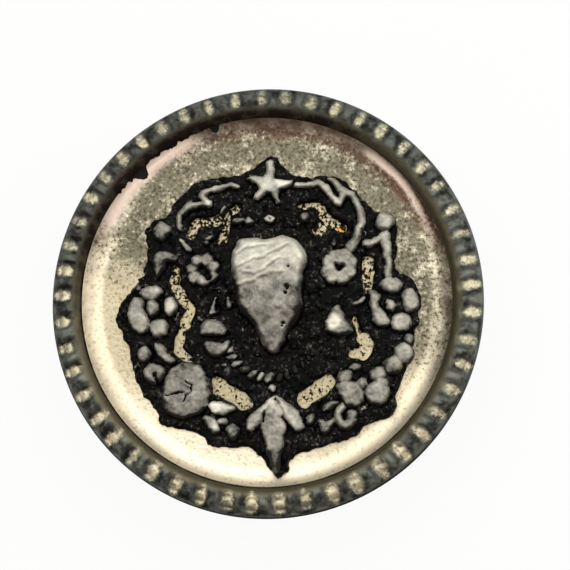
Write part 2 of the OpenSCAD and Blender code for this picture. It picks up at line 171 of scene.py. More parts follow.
def gridShell(region, top, under, step, low, high):
    gx, gy = np.meshgrid(np.arange(low[0], high[0], step), np.arange(low[1], high[1], step), indexing="ij")
    cells = closeCorners(region(gx[:-1, :-1] + step / 2, gy[:-1, :-1] + step / 2) < 0)
    around = np.zeros(gx.shape, int)
    for i in (0, 1):
        for j in (0, 1):
            around[i:gx.shape[0] - 1 + i, j:gx.shape[1] - 1 + j] += cells
    used = around > 0
    edge = (around < 4)[used]
    px, py = gx[used], gy[used]
    ex, ey = px[edge], py[edge]
    nudge = step / 8
    for k in range(4):  # the border's points are drawn onto the true outline
        sx = (region(ex + nudge, ey) - region(ex - nudge, ey)) / (2 * nudge)
        sy = (region(ex, ey + nudge) - region(ex, ey - nudge)) / (2 * nudge)
        pull = np.clip(region(ex, ey) / np.maximum(sx * sx + sy * sy, 0.3), -step / 2, step / 2)
        ex, ey = ex - pull * sx, ey - pull * sy
    px[edge] += np.clip(ex - px[edge], -0.7 * step, 0.7 * step)
    py[edge] += np.clip(ey - py[edge], -0.7 * step, 0.7 * step)
    index = np.full(gx.shape, -1)
    index[used] = np.arange(used.sum())
    a, b, c, d = index[:-1, :-1], index[1:, :-1], index[1:, 1:], index[:-1, 1:]
    faces = np.stack([a[cells], b[cells], c[cells], d[cells]], 1).tolist()
    bare = np.pad(~cells, 1, constant_values=True)
    open4 = (bare[1:-1, :-2], bare[2:, 1:-1], bare[1:-1, 2:], bare[:-2, 1:-1])
    rim4 = [np.stack([p[cells & o], q[cells & o]], 1) for o, p, q in zip(open4, (a, b, c, d), (b, c, d, a))]
    border = np.concatenate(rim4)
    count = len(px)
    if callable(under):
        below = np.arange(count)
        faces += [[p + count for p in f[::-1]] for f in faces]
    else:  # a flat underside needs only the border's points
        below = np.full(count, -1)
        below[edge] = np.arange(edge.sum())
        plan = [Vector((float(i), float(j))) for i, j in zip(*(n[edge] for n in np.nonzero(used)))]
        flat = delaunay_2d_cdt(plan, below[border].tolist(), [], 0, 1e-6)
        middles = [sum((flat[0][p] for p in f), Vector((0, 0))) / 3 for f in flat[2]]
        faces += [[flat[3][p][0] + count for p in f[::-1]] for f, m in zip(flat[2], middles)
                  if cells[int(m.x), int(m.y)]]
    faces += [[q, p, below[p] + count, below[q] + count] for p, q in border.tolist()]
    lx, ly = px[below >= 0], py[below >= 0]
    lz = under(lx, ly) if callable(under) else np.full(len(lx), under)
    points = np.stack([np.r_[px, lx], np.r_[py, ly], np.r_[top(px, py), lz]], 1)
    return points, faces


def turnedRing(section, segments, shape):
    phi = np.arange(segments) * 2 * np.pi / segments
    r, z = shape(section, phi)  # one row of the section for each turn
    points = np.stack([r * np.sin(phi)[:, None], r * np.cos(phi)[:, None], z], 2).reshape(-1, 3)
    k = r.shape[1]
    row, col = np.meshgrid(np.arange(segments), np.arange(k), indexing="ij")
    nextRow, nextCol = (row + 1) % segments, (col + 1) % k
    faces = np.stack([row * k + col, row * k + nextCol, nextRow * k + nextCol, nextRow * k + col], 2)
    return points, faces.reshape(-1, 4).tolist()


def makePiece(name, points, faces, marks, material, node, sharp=60):
    mesh = bpy.data.meshes.new(name)
    mesh.from_pydata((points * mm).tolist(), [], faces)
    for mark, values in marks.items():
        layer = mesh.attributes.new(mark, "FLOAT", "POINT")
        layer.data.foreach_set("value", np.asarray(values, np.float32))
    mesh.polygons.foreach_set("use_smooth", np.ones(len(mesh.polygons), bool))
    mesh.set_sharp_from_angle(angle=math.radians(sharp))
    mesh.materials.append(material)
    piece = bpy.data.objects.new(name, mesh)
    scene.collection.objects.link(piece)
    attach(piece, "root")
    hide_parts(node)
    print(f"{name}: {sum(len(f) - 2 for f in faces)} triangles")
    return piece


# camera: square on to the face, a little from the lower right

view = {"aim": 4.6, "distance": 72, "tilt": 8.83, "bearing": 144.4, "lens": 61.38, "shift": (0.0362, 0.0240)}

tilt, bearing = math.radians(view["tilt"]), math.radians(view["bearing"])
away = Vector((math.sin(bearing) * math.sin(tilt), math.cos(bearing) * math.sin(tilt), math.cos(tilt)))
right = (-away).cross(Vector((0, 1, 0))).normalized()
cameraData = bpy.data.cameras.new("camera")
cameraData.lens = view["lens"]
cameraData.shift_x, cameraData.shift_y = view["shift"]
cameraData.clip_start, cameraData.clip_end = 5 * mm, 5
camera = bpy.data.objects.new("camera", cameraData)
scene.collection.objects.link(camera)
turn = Matrix((right, right.cross(-away), away)).transposed().to_4x4()
camera.matrix_world = Matrix.Translation((Vector((0, 0, view["aim"])) + away * view["distance"]) * mm) @ turn
scene.camera = camera
scene.view_settings.view_transform = "Standard"
print("camera set")


# light: a large soft box over the face, one to its right, two small ones off its lower corners, a dim room

lamps = {
    "softBoxTop": {"at": (0, 46, 125), "size": (190, 178), "glow": 1.55, "tint": "#fffdf8"},
    "softBoxRight": {"at": (130, 20, 75), "size": (80, 120), "glow": 1.6, "tint": "#fffaf2"},
    "cardLeft": {"at": (-90, -62, 90), "size": (64, 40), "glow": 2.6, "tint": "#fff3ec"},
    "cardRight": {"at": (76, -84, 90), "size": (64, 40), "glow": 2.4, "tint": "#fff3ec"},
}
room = {"front": "#5a524b", "back": "#d2d1cd", "level": 0.75, "seen": "#fcfcfb"}

for name, lamp in lamps.items():
    lightData = bpy.data.lights.new(name, "AREA")
    lightData.shape = "RECTANGLE"
    lightData.size, lightData.size_y = (side * mm for side in lamp["size"])
    # glow is the level that a mirror shows
    lightData.energy = lamp["glow"] * math.pi * lightData.size * lightData.size_y
    lightData.color = hexLinear(lamp["tint"])[:3]
    light = bpy.data.objects.new(name, lightData)
    light.location = Vector(lamp["at"]) * mm
    light.rotation_mode = "QUATERNION"
    light.rotation_quaternion = (-light.location).to_track_quat("-Z", "Y")
    scene.collection.objects.link(light)

world = bpy.data.worlds.new("room")
scene.world = world
world.use_nodes = True
tree = world.node_tree
tree.nodes.clear()
coord = addNode(tree, "TexCoord", {}, {})
axes = addNode(tree, "SeparateXYZ", {}, {0: coord.outputs["Generated"]})
share = addNode(tree, "MapRange", {**smoothly, 1: -0.7, 2: 0.5}, {0: axes.outputs[1]})
walls = addNode(tree, "Mix", {**inColour, 6: hexLinear(room["front"]), 7: hexLinear(room["back"])},
                {0: share.outputs[0]})
dim = addNode(tree, "Background", {"Strength": room["level"]}, {"Color": walls.outputs[2]})
pale = addNode(tree, "Background", {"Color": hexLinear(room["seen"])}, {})
path = addNode(tree, "LightPath", {}, {})
glow = addNode(tree, "MixShader", {},
               {0: path.outputs["Is Camera Ray"], 1: dim.outputs[0], 2: pale.outputs[0]})
addNode(tree, "OutputWorld", {}, {"Surface": glow.outputs[0]})

floor = {"half": 700, "colour": "#f4f4f2", "white": 0.92}

floorMesh = bpy.data.meshes.new("floor")
corners = [(-1, -1), (1, -1), (1, 1), (-1, 1)]
floorMesh.from_pydata([(x * floor["half"] * mm, y * floor["half"] * mm, shankLow.z * mm) for x, y in corners],
                      [], [(0, 1, 2, 3)])
floorPiece = bpy.data.objects.new("floor", floorMesh)
scene.collection.objects.link(floorPiece)
paper = bpy.data.materials.new("matt white paper")  # even white, with the soft shadow kept
paper.use_nodes = True
tree = paper.node_tree
tree.nodes.clear()
path = addNode(tree, "LightPath", {}, {})
seen = path.outputs["Is Camera Ray"]
for ray in ("Is Glossy Ray", "Is Transmission Ray"):
    seen = addNode(tree, "Math", {"operation": "MAXIMUM"}, {0: seen, 1: path.outputs[ray]}).outputs[0]
share = addNode(tree, "Math", {"operation": "MULTIPLY", 1: floor["white"]}, {0: seen})
matt = addNode(tree, "BsdfDiffuse", {"Color": hexLinear(floor["colour"])}, {})
white = addNode(tree, "Emission", {"Strength": 1.0}, {})
lit = addNode(tree, "MixShader", {}, {0: share.outputs[0], 1: matt.outputs[0], 2: white.outputs[0]})
face = addNode(tree, "NewGeometry", {}, {})
clear = addNode(tree, "BsdfTransparent", {}, {})
both = addNode(tree, "MixShader", {}, {0: face.outputs["Backfacing"], 1: lit.outputs[0], 2: clear.outputs[0]})
addNode(tree, "OutputMaterial", {}, {"Surface": both.outputs[0]})  # seen from below, the paper is clear
floorMesh.materials.append(paper)
print("light and floor set")


# materials

def newMaterial(name):
    material = bpy.data.materials.new(name)
    material.use_nodes = True
    material.node_tree.nodes.clear()
    return material, material.node_tree


def patchy(tree, mark, blot):  # a mark broken up by blots, none of them beyond it
    summed = addNode(tree, "Math", {"operation": "ADD", "use_clamp": True}, {0: mark, 1: blot.outputs[0]})
    return addNode(tree, "Math", {"operation": "MULTIPLY", "use_clamp": True},
                   {0: summed.outputs[0], 1: mark})


def blackenedSteel():
    # stamped sheet steel, chemically blackened: a dull grey sheen on the lands, olive-brown dirt in the
    # inner slope, worn gilding left in the notches; soot and painted shade black the outer flank and the
    # notches' edges, painted shade lies beside the notches, along the top and at the inner foot, and the
    # upper right flank keeps a painted sheen
    material, tree = newMaterial("blackened sheet steel, stamped and part gilt")
    coord = addNode(tree, "TexCoord", {}, {}).outputs["Object"]
    marks = ("gilt", "sootAndShade", "slope")
    gilt, sootAndShade, slope = (
        addNode(tree, "Attribute", {"attribute_name": mark}, {}).outputs["Fac"] for mark in marks)
    cloud = addNode(tree, "TexNoise", {"Scale": perSize(0.9), "Detail": 4, "Roughness": 0.6},
                    {"Vector": coord})
    # the grain of real sheet is finer, and is drawn this coarse to show
    grain = addNode(tree, "TexNoise", {"Scale": perSize(0.2), "Detail": 3, "Roughness": 0.65},
                    {"Vector": coord})
    patch = addNode(tree, "MapRange", {**smoothly, 1: 0.35, 2: 0.66}, {0: cloud.outputs["Fac"]})
    steel = addNode(tree, "Mix", {**inColour, 6: hexLinear("#2b2c2a"), 7: hexLinear("#757972")},
                    {0: patch.outputs[0]})
    steel = addNode(tree, "Mix", {**inColour, 7: hexLinear("#706a56")}, {0: slope, 6: steel.outputs[2]})
    blot = addNode(tree, "MapRange", {1: 0.3, 2: 0.7, 3: -0.3, 4: 0.3}, {0: cloud.outputs["Fac"]})
    # soot and painted shade, broken into patches
    soiledAndShaded = patchy(tree, sootAndShade, blot)
    dark = addNode(tree, "Mix", {**inColour, 7: hexLinear("#190f0d")},
                   {0: soiledAndShaded.outputs[0], 6: steel.outputs[2]})
    left = addNode(tree, "MapRange", {1: 0.3, 2: 0.7, 3: 0.45, 4: 1.55}, {0: grain.outputs["Fac"]})
    left = addNode(tree, "Math", {"operation": "MULTIPLY"}, {0: left.outputs[0], 1: gilt})
    left = addNode(tree, "MapRange", {**smoothly, 1: 0.15, 2: 1.0}, {0: left.outputs[0]})
    gold = addNode(tree, "Mix", {**inColour, 7: hexLinear("#cdc5a8")},
                   {0: left.outputs[0], 6: dark.outputs[2]})
    dullAndShade = addNode(tree, "MapRange", {3: 1.0, 4: 0.05}, {0: soiledAndShaded.outputs[0]})
    rough = addNode(tree, "MapRange", {1: 0.3, 2: 0.7, 3: 0.36, 4: 0.5}, {0: cloud.outputs["Fac"]})
    rough = addNode(tree, "Math", {"operation": "MULTIPLY_ADD", "use_clamp": True, 1: 0.45},
                    {0: soiledAndShaded.outputs[0], 2: rough.outputs[0]})
    bump = addNode(tree, "Bump", {"Strength": 0.2, "Distance": 0.03 * mm}, {"Height": grain.outputs["Fac"]})
    skin = addNode(tree, "BsdfPrincipled", {"Specular IOR Level": 0.04},
                   {"Base Color": gold.outputs[2], "Metallic": dullAndShade.outputs[0],
                    "Roughness": rough.outputs[0], "Normal": bump.outputs[0]})
    addNode(tree, "OutputMaterial", {}, {"Surface": skin.outputs[0]})
    return material


def giltBrass():
    # thin brass sheet, pressed over a grained die and gilt: pale champagne, smooth in the cove and along
    # the bottom, flaked and pitted on the upper floor and greyed there, the greying a painted shade that
    # darkens towards the top; browned where the gilding has worn away and as painted shade in the upper
    # cove; a pink-white painted highlight in the upper right cove and under the torn lip
    material, tree = newMaterial("gilt brass sheet, pressed and pitted")
    coord = addNode(tree, "TexCoord", {}, {}).outputs["Object"]
    marks = ("cove", "brownAndShade", "dullAndShade", "pinkHighlight", "splash", "speckle")
    cove, brownAndShade, dullAndShade, pinkHighlight, splash, speckle = (
        addNode(tree, "Attribute", {"attribute_name": mark}, {}).outputs["Fac"] for mark in marks)
    cloud = addNode(tree, "TexNoise", {"Scale": perSize(1.5), "Detail": 5, "Roughness": 0.65},
                    {"Vector": coord})
    grain = addNode(tree, "TexNoise", {"Scale": perSize(0.26), "Detail": 3, "Roughness": 0.6},
                    {"Vector": coord})
    crumb = addNode(tree, "TexNoise",
                    {"Scale": perSize(0.22), "Detail": 3, "Roughness": 0.5, "Distortion": 0.2},
                    {"Vector": coord})
    worn = addNode(tree, "MapRange", {1: 0.3, 2: 0.7, 3: -0.45, 4: 0.45}, {0: cloud.outputs["Fac"]})
    # worn grey and painted shade on the upper floor
    greyedAndShaded = patchy(tree, dullAndShade, worn)
    metal = addNode(tree, "Mix", {**inColour, 6: hexLinear("#fcf1d8"), 7: hexLinear("#787362")},
                    {0: greyedAndShaded.outputs[0]})
    # brown tarnish and painted shade
    brownedAndShaded = patchy(tree, brownAndShade, worn)
    metal = addNode(tree, "Mix", {**inColour, 7: hexLinear("#6e5446")},
                    {0: brownedAndShaded.outputs[0], 6: metal.outputs[2]})
    # painted highlight, pink-white, in the cove and under the torn lip
    metal = addNode(tree, "Mix", {**inColour, 7: hexLinear("#ffebdb")}, {0: pinkHighlight, 6: metal.outputs[2]})
    grit = addNode(tree, "MapRange", {1: 0.28, 2: 0.72}, {0: grain.outputs["Fac"]})
    flaked = addNode(tree, "Math", {"operation": "MAXIMUM"}, {0: dullAndShade, 1: splash})
    patch = addNode(tree, "MapRange", {1: 0.36, 2: 0.62, 3: 0.95, 4: 0.3}, {0: cloud.outputs["Fac"]})
    flaked = addNode(tree, "Math", {"operation": "MULTIPLY"}, {0: flaked.outputs[0], 1: patch.outputs[0]})
    metal = addNode(tree, "Mix", {**inColour, "blend_type": "OVERLAY"},
                    {0: flaked.outputs[0], 6: metal.outputs[2], 7: grit.outputs[0]})
    flake = addNode(tree, "MapRange", {**smoothly, 1: 0.6, 2: 0.72}, {0: grain.outputs["Fac"]})
    flake = addNode(tree, "Math", {"operation": "MULTIPLY"}, {0: flake.outputs[0], 1: flaked.outputs[0]})
    metal = addNode(tree, "Mix", {**inColour, 7: hexLinear("#f3ecd8")},
                    {0: flake.outputs[0], 6: metal.outputs[2]})
    shade = addNode(tree, "MapRange", {**smoothly, 1: 0.45, 2: 0.34}, {0: grain.outputs["Fac"]})
    strong = addNode(tree, "MapRange", {3: 0.3, 4: 1.0}, {0: dullAndShade})
    strong = addNode(tree, "Math", {"operation": "SUBTRACT", "use_clamp": True},
                     {0: strong.outputs[0], 1: pinkHighlight})
    shade = addNode(tree, "Math", {"operation": "MULTIPLY"}, {0: shade.outputs[0], 1: strong.outputs[0]})
    metal = addNode(tree, "Mix", {**inColour, 7: hexLinear("#514b3b")},
                    {0: shade.outputs[0], 6: metal.outputs[2]})
    metal = addNode(tree, "Mix", {**inColour, "blend_type": "MULTIPLY", 7: hexLinear("#c3c0b3")},
                    {0: splash, 6: metal.outputs[2]})
    rust = addNode(tree, "VectorMath", {"operation": "DISTANCE", 1: [c * mm for c in liner["rustAt"]]},
                   {0: coord})
    rust = addNode(tree, "MapRange", {1: 0.3 * mm, 2: 0.45 * mm, 3: 0.9, 4: 0.0}, {0: rust.outputs["Value"]})
    metal = addNode(tree, "Mix", {**inColour, 7: hexLinear("#d8a238")},
                    {0: rust.outputs[0], 6: metal.outputs[2]})
    deep = addNode(tree, "Math", {"operation": "MULTIPLY_ADD", 1: 0.24},
                   {0: speckle, 2: crumb.outputs["Fac"]})
    deep = addNode(tree, "Math", {"operation": "MULTIPLY_ADD", 1: -0.04}, {0: cove, 2: deep.outputs[0]})
    sparse = addNode(tree, "MapRange", {3: -0.03, 4: 0.0}, {0: flaked.outputs[0]})
    deep = addNode(tree, "Math", {"operation": "ADD"}, {0: deep.outputs[0], 1: sparse.outputs[0]})
    deep = addNode(tree, "Math", {"operation": "MULTIPLY_ADD", 1: -0.2}, {0: pinkHighlight, 2: deep.outputs[0]})
    pits = addNode(tree, "MapRange", {**smoothly, 1: 0.67, 2: 0.76}, {0: deep.outputs[0]})
    pitted = addNode(tree, "Mix", {**inColour, 7: hexLinear("#1b1510")},
                     {0: pits.outputs[0], 6: metal.outputs[2]})
    rough = addNode(tree, "MapRange", {3: 0.5, 4: 0.34}, {0: pinkHighlight})
    smooth = addNode(tree, "Math", {"operation": "MAXIMUM"}, {0: cove, 1: pinkHighlight})
    tooth = addNode(tree, "MapRange", {3: 0.95, 4: 0.1}, {0: smooth.outputs[0]})
    bump = addNode(tree, "Bump", {"Distance": 0.07 * mm},
                   {"Strength": tooth.outputs[0], "Height": grain.outputs["Fac"]})
    # the painted highlight is made less metallic, so that it stays pale
    highlightMetallic = addNode(tree, "MapRange", {3: 1.0, 4: 0.35}, {0: pinkHighlight})
    skin = addNode(tree, "BsdfPrincipled", {},
                   {"Base Color": pitted.outputs[2], "Metallic": highlightMetallic.outputs[0],
                    "Roughness": rough.outputs[0], "Normal": bump.outputs[0]})
    addNode(tree, "OutputMaterial", {}, {"Surface": skin.outputs[0]})
    return material


def lacqueredCasting():
    # tin-lead white metal, cast and black-lacquered, then rubbed: soft grey bare tops with hard
    # chipped edges, deep black between them with specks of metal in it
    material, tree = newMaterial("cast white metal, black lacquer rubbed off")
    coord = addNode(tree, "TexCoord", {}, {}).outputs["Object"]
    marks = ("bare", "tone")
    bare, tone = (
        addNode(tree, "Attribute", {"attribute_name": mark}, {}).outputs["Fac"] for mark in marks)
    chip = addNode(tree, "TexNoise", {"Scale": perSize(0.42), "Detail": 4, "Roughness": 0.65},
                   {"Vector": coord})
    grain = addNode(tree, "TexNoise", {"Scale": perSize(0.24), "Detail": 4, "Roughness": 0.65},
                    {"Vector": coord})
    cloud = addNode(tree, "TexNoise", {"Scale": perSize(1.1), "Detail": 3, "Roughness": 0.6},
                    {"Vector": coord})
    edge = addNode(tree, "MapRange", {1: 0.3, 2: 0.7, 3: -0.45, 4: 0.45}, {0: chip.outputs["Fac"]})
    edge = addNode(tree, "Math", {"operation": "ADD"}, {0: bare, 1: edge.outputs[0]})
    rubbed = addNode(tree, "MapRange", {**smoothly, 1: 0.38, 2: 0.62}, {0: edge.outputs[0]})
    speck = addNode(tree, "Math", {"operation": "MULTIPLY_ADD", 1: 0.5},
                    {0: chip.outputs["Fac"], 2: grain.outputs["Fac"]})
    speck = addNode(tree, "MapRange", {**smoothly, 1: 0.8, 2: 0.96, 4: 0.4},
                    {0: speck.outputs[0]})
    rubbed = addNode(tree, "Math", {"operation": "MAXIMUM"}, {0: rubbed.outputs[0], 1: speck.outputs[0]})
    # the tone mark carries painted light: faces looking up the face paler, painted glints, the boss's light
    shade = addNode(tree, "MapRange", {1: 0.3, 2: 0.7, 3: -0.22, 4: 0.22}, {0: cloud.outputs["Fac"]})
    shade = addNode(tree, "Math", {"operation": "ADD"}, {0: tone, 1: shade.outputs[0]})
    fleck = addNode(tree, "MapRange", {1: 0.3, 2: 0.7, 3: -0.09, 4: 0.09}, {0: grain.outputs["Fac"]})
    shade = addNode(tree, "Math", {"operation": "ADD", "use_clamp": True},
                    {0: shade.outputs[0], 1: fleck.outputs[0]})
    metal = addNode(tree, "Mix", {**inColour, 6: hexLinear("#2f2f2c"), 7: hexLinear("#eae7d9")},
                    {0: shade.outputs[0]})
    dust = addNode(tree, "Math", {"operation": "MULTIPLY"}, {0: chip.outputs["Fac"], 1: cloud.outputs["Fac"]})
    dust = addNode(tree, "MapRange", {**smoothly, 1: 0.24, 2: 0.46}, {0: dust.outputs[0]})
    black = addNode(tree, "Mix", {**inColour, 6: hexLinear("#050505"), 7: hexLinear("#2a2926")},
                    {0: dust.outputs[0]})
    colour = addNode(tree, "Mix", inColour,
                     {0: rubbed.outputs[0], 6: black.outputs[2], 7: metal.outputs[2]})
    rough = addNode(tree, "MapRange", {3: 0.4, 4: 0.6}, {0: rubbed.outputs[0]})
    shine = addNode(tree, "Math", {"operation": "MULTIPLY", 1: 0.65}, {0: rubbed.outputs[0]})
    bump = addNode(tree, "Bump", {"Strength": 0.4, "Distance": 0.05 * mm}, {"Height": grain.outputs["Fac"]})
    skin = addNode(tree, "BsdfPrincipled", {"Specular IOR Level": 0.05},
                   {"Base Color": colour.outputs[2], "Metallic": shine.outputs[0],
                    "Roughness": rough.outputs[0], "Normal": bump.outputs[0]})
    addNode(tree, "OutputMaterial", {}, {"Surface": skin.outputs[0]})
    return material


def plainFinish(name, low, high, size, metallic, roughness, relief):
    # two tones in soft clouds of the given size, the paler one rougher, on a slightly uneven skin
    material, tree = newMaterial(name)
    coord = addNode(tree, "TexCoord", {}, {}).outputs["Object"]
    cloud = addNode(tree, "TexNoise", {"Scale": perSize(size), "Detail": 5, "Roughness": 0.65},
                    {"Vector": coord})
    share = addNode(tree, "MapRange", {**smoothly, 1: 0.35, 2: 0.68}, {0: cloud.outputs["Fac"]})
    colour = addNode(tree, "Mix", {**inColour, 6: hexLinear(low), 7: hexLinear(high)}, {0: share.outputs[0]})
    rough = addNode(tree, "MapRange", {3: roughness[0], 4: roughness[1]}, {0: share.outputs[0]})
    bump = addNode(tree, "Bump", {"Strength": 0.5, "Distance": relief * mm}, {"Height": cloud.outputs["Fac"]})
    skin = addNode(tree, "BsdfPrincipled", {"Metallic": metallic},
                   {"Base Color": colour.outputs[2], "Roughness": rough.outputs[0],
                    "Normal": bump.outputs[0]})
    addNode(tree, "OutputMaterial", {}, {"Surface": skin.outputs[0]})
    return material


# rim: half-round sheet ring with notches across its crest

rim = {
    "beadRadius": 1.175, "sheet": 0.35, "lipRise": 0.35, "wallLean": 0.3, "crimpWidth": 1.1, "corner": 0.3,
    "notches": 49, "phase": 6.6, "depth": 0.17, "halfWide": 0.53, "halfLong": 0.84, "middle": 15.1,
    "crown": 0.07, "turnsPerNotch": 20, "seed": 7,
    "roundEdge": (15.45, 15.8), "blotInner": (13.9, 14.4), "blotOuter": (15.1, 15.8),  # radii of soft borders
    "slope": (14.0, 14.6),
    "lessBlot": (10, 40, 90), "wideGiltAndLight": (185, 45, 85), "lighterBottom": (165, 70, 125),  # sectors
    # sectors: painted shade along the top, a painted sheen on the upper right flank
    "darkTop": (335, 40, 110), "rubbed": (45, 40, 95),
}

beadZ = rimHigh.z - rim["beadRadius"]
beadRing = rimHigh.x - rim["beadRadius"]
lipRadius = beadRing - math.sqrt(rim["beadRadius"] ** 2 - rim["lipRise"] ** 2)
draw = np.random.default_rng(rim["seed"])
notchJitter = draw.uniform(-1, 1, (rim["notches"], 4))  # place, width, reach and depth of each notch
giltLeft = draw.uniform(0.65, 1.0, rim["notches"])
notchAt = rim["phase"] + np.arange(rim["notches"]) * 360 / rim["notches"]
giltLeft *= 0.8 + 0.2 * ease(bearingGap(notchAt, 20), 45, 90)  # the gilding is thinnest at the top


def rimSection():
    r, rise, sheet = rim["beadRadius"], rim["lipRise"], rim["sheet"]
    start = math.pi - math.asin(rise / r)
    front = np.linspace(start, 0, 40)
    back = np.linspace(0, math.pi - math.asin(rise / (r - sheet)), 9)
    wallFoot = rimHigh.x - rim["wallLean"]
    crimpIn = wallFoot - sheet - rim["crimpWidth"]
    side = [(wallFoot, rimLow.z + rim["corner"]), (wallFoot - rim["corner"], rimLow.z), (crimpIn, rimLow.z),
            (crimpIn, rimLow.z + sheet), (wallFoot - sheet, rimLow.z + sheet)]
    outside = np.stack([beadRing + r * np.cos(front), beadZ + r * np.sin(front)], 1)
    inside = np.stack([beadRing + (r - sheet) * np.cos(back), beadZ + (r - sheet) * np.sin(back)], 1)
    wall = np.stack([np.linspace(rimHigh.x, wallFoot, 6)[1:-1],
                     np.linspace(beadZ, rimLow.z + rim["corner"], 6)[1:-1]], 1)
    return np.concatenate([outside, wall, side, inside]), len(front)


def notchMarks(r, phi):
    pitch = 2 * math.pi / rim["notches"]
    turns = (phi - math.radians(rim["phase"])) / pitch
    k = np.round(turns).astype(int) % rim["notches"]
    place, width, reach, deep = (j[:, None] for j in notchJitter[k].T)
    beside = ((turns - np.round(turns))[:, None] + 0.05 * place) * pitch * r
    across = np.abs(beside)
    wide = across / (rim["halfWide"] * (1 + 0.15 * width))
    long = np.abs(r - rim["middle"] - 0.06 * reach) / rim["halfLong"]
    d = (wide ** 2.2 + long ** 2.6) ** 0.42 - 1
    d = d + 0.14 * lumps(phi[:, None] * 15 + 0 * r, r, 0.3, rim["seed"])
    floorShare = 1 - ease(d, -0.35, 0.3)
    inward = 1 - ease(r, *rim["roundEdge"])  # the outer edge stays round
    arch = np.maximum(1 - (across / (pitch * r / 2)) ** 2, 0) ** 2
    crown = rim["crown"] * arch * (1 - ease(long, 0.5, 1.0))
    pull = (rim["depth"] * (1 + 0.2 * deep) * floorShare + crown) * inward
    # painted shade: a dark blot a little to one side of each notch, where its relief is shaded
    ahead = (beside - 0.62 + pitch * r / 2) % (pitch * r) - pitch * r / 2
    blot = (1 - ease(np.abs(ahead), 0.04, 0.36)) * (1 - ease(r, *rim["blotOuter"]))
    blot = blot * ease(r, *rim["blotInner"])
    top = sector(np.degrees(phi), *rim["lessBlot"])[:, None]
    # soot and painted shade about each notch's edge, with the painted shade blots, fewer along the top
    sootAndShade = np.maximum(0.7 * ease(d, -0.2, 0.1) * (1 - ease(d, 0.1, 0.6)), blot * (1 - 0.4 * top))
    lit = 1 - 0.45 * ease(beside, -0.1, 0.5)  # the gilding fades to one side of each notch
    low = sector(np.degrees(phi), *rim["wideGiltAndLight"])[:, None]
    spread = low * (0.14 + 0.26 * (15.0 - r))  # at the bottom it reaches further in, a painted light over the inner side, which faces the light there
    return pull, (1 - ease(d - spread, -0.6, 0.16)) * giltLeft[k][:, None] * lit, sootAndShade


def rimShape(section, phi):
    r = np.repeat(section[None, :, 0], len(phi), 0)
    z = np.repeat(section[None, :, 1], len(phi), 0)
    pull = notchMarks(r, phi)[0]
    pull[:, frontCount:] = 0
    dr, dz = r - beadRing, z - beadZ
    size = np.maximum(np.hypot(dr, dz), 1e-6)
    return r - pull * dr / size, z - pull * dz / size


section, frontCount = rimSection()
segments = rim["notches"] * rim["turnsPerNotch"]
points, faces = turnedRing(section, segments, rimShape)
ringPhi = np.arange(segments) * 2 * np.pi / segments
gilding, notchSootAndShade = notchMarks(np.repeat(section[None, :, 0], segments, 0), ringPhi)[1:]
gilding[:, frontCount:] = 0
ringDegrees = np.degrees(ringPhi)[:, None]
lighterBottomMark = sector(ringDegrees, *rim["lighterBottom"])  # lighter at the bottom: less soot and painted shade there
slopeMark = np.repeat((1 - ease(section[:, 0], *rim["slope"]))[None], segments, 0)
flank = 1 - ease(section[:, 1], beadZ + 0.45, beadZ + 0.9)  # the outer flank is the blackest, soot and painted shade
# painted shadow along the inner foot, where the rim's lip meets the liner
foot = 1 - ease(section[:, 0], lipRadius + 0.02, lipRadius + 0.3)
topDarkAndShade = sector(ringDegrees, *rim["darkTop"]) * (0.42 + 0.55 * slopeMark)  # and the top is darker: painted shade on its inner slope, darker lands
sheen = 0.6 * sector(ringDegrees, *rim["rubbed"])  # painted sheen: the outer flank's soot is lifted on the upper right, where light falls on it
sootAndShadeMark = np.maximum(flank[None] * (1 - sheen), foot[None] * (0.85 - 0.8 * lighterBottomMark))
sootAndShadeMark = np.maximum(notchSootAndShade * (1 - 0.35 * lighterBottomMark), sootAndShadeMark)
sootAndShadeMark = np.maximum(sootAndShadeMark, topDarkAndShade)
ringMarks = {"gilt": gilding.ravel(), "sootAndShade": sootAndShadeMark.ravel(), "slope": slopeMark.ravel()}
makePiece("rim_stamped", points, faces, ringMarks, blackenedSteel(), "rim")


# liner: dished sheet, torn at its upper left edge

liner = {
    "sheet": 0.25, "coveRun": 1.5, "tuck": 0.1, "uneven": 0.012, "step": 0.125, "pinHole": 0.65, "pinAt": 4.4,
    "gap": (303, 307, 345, 348), "gapRadius": 13.68, "tears": [(316, 2.7, 0.75), (344, 1.8, 0.45)],
    "rustAt": (5.75, 5.1, 4.1), "middle": (8.2, 9.6), "seed": 3,
    "topCove": (12, 35, 75), "torn": (312, 22, 45), "tornLip": (316, 16, 26),  # sectors
    # the dulled sector greys the upper floor: worn grey and painted shade
    "greyCove": (82, 28, 48), "dulledAndShaded": (17, 82, 114),
    # brown tarnish, deepest in the upper cove, where it is painted shade: that cove faces away from the light
    "brownedAndShaded": [(0.85, (22, 35, 60), (11.6, 13.0)), (0.5, (80, 25, 50), (12.5, 13.3)),
                (0.38, (262, 35, 70), (12.4, 13.2))],  # strength, sector, radii
    "splashed": [(0.8, (262, 14, 42)), (0.55, (130, 22, 45))],  # strength, sector
    # painted highlight: a pink-white streak along the upper right cove
    "highlightStreak": {"bearings": (31, 42, 48, 78), "radius": 13.44, "inset": 0.25, "insetOver": (48, 66),
               "core": 0.08, "halves": (0.38, 0.28)},
}
floorZ = linerLow.z + liner["sheet"]
dishDepth = linerHigh.z - floorZ
coveEnd = lipRadius + liner["tuck"]
floorRadius = coveEnd - liner["coveRun"]
coveTurn = 2 * math.atan(dishDepth / liner["coveRun"])
coveArc = liner["coveRun"] / math.sin(coveTurn)


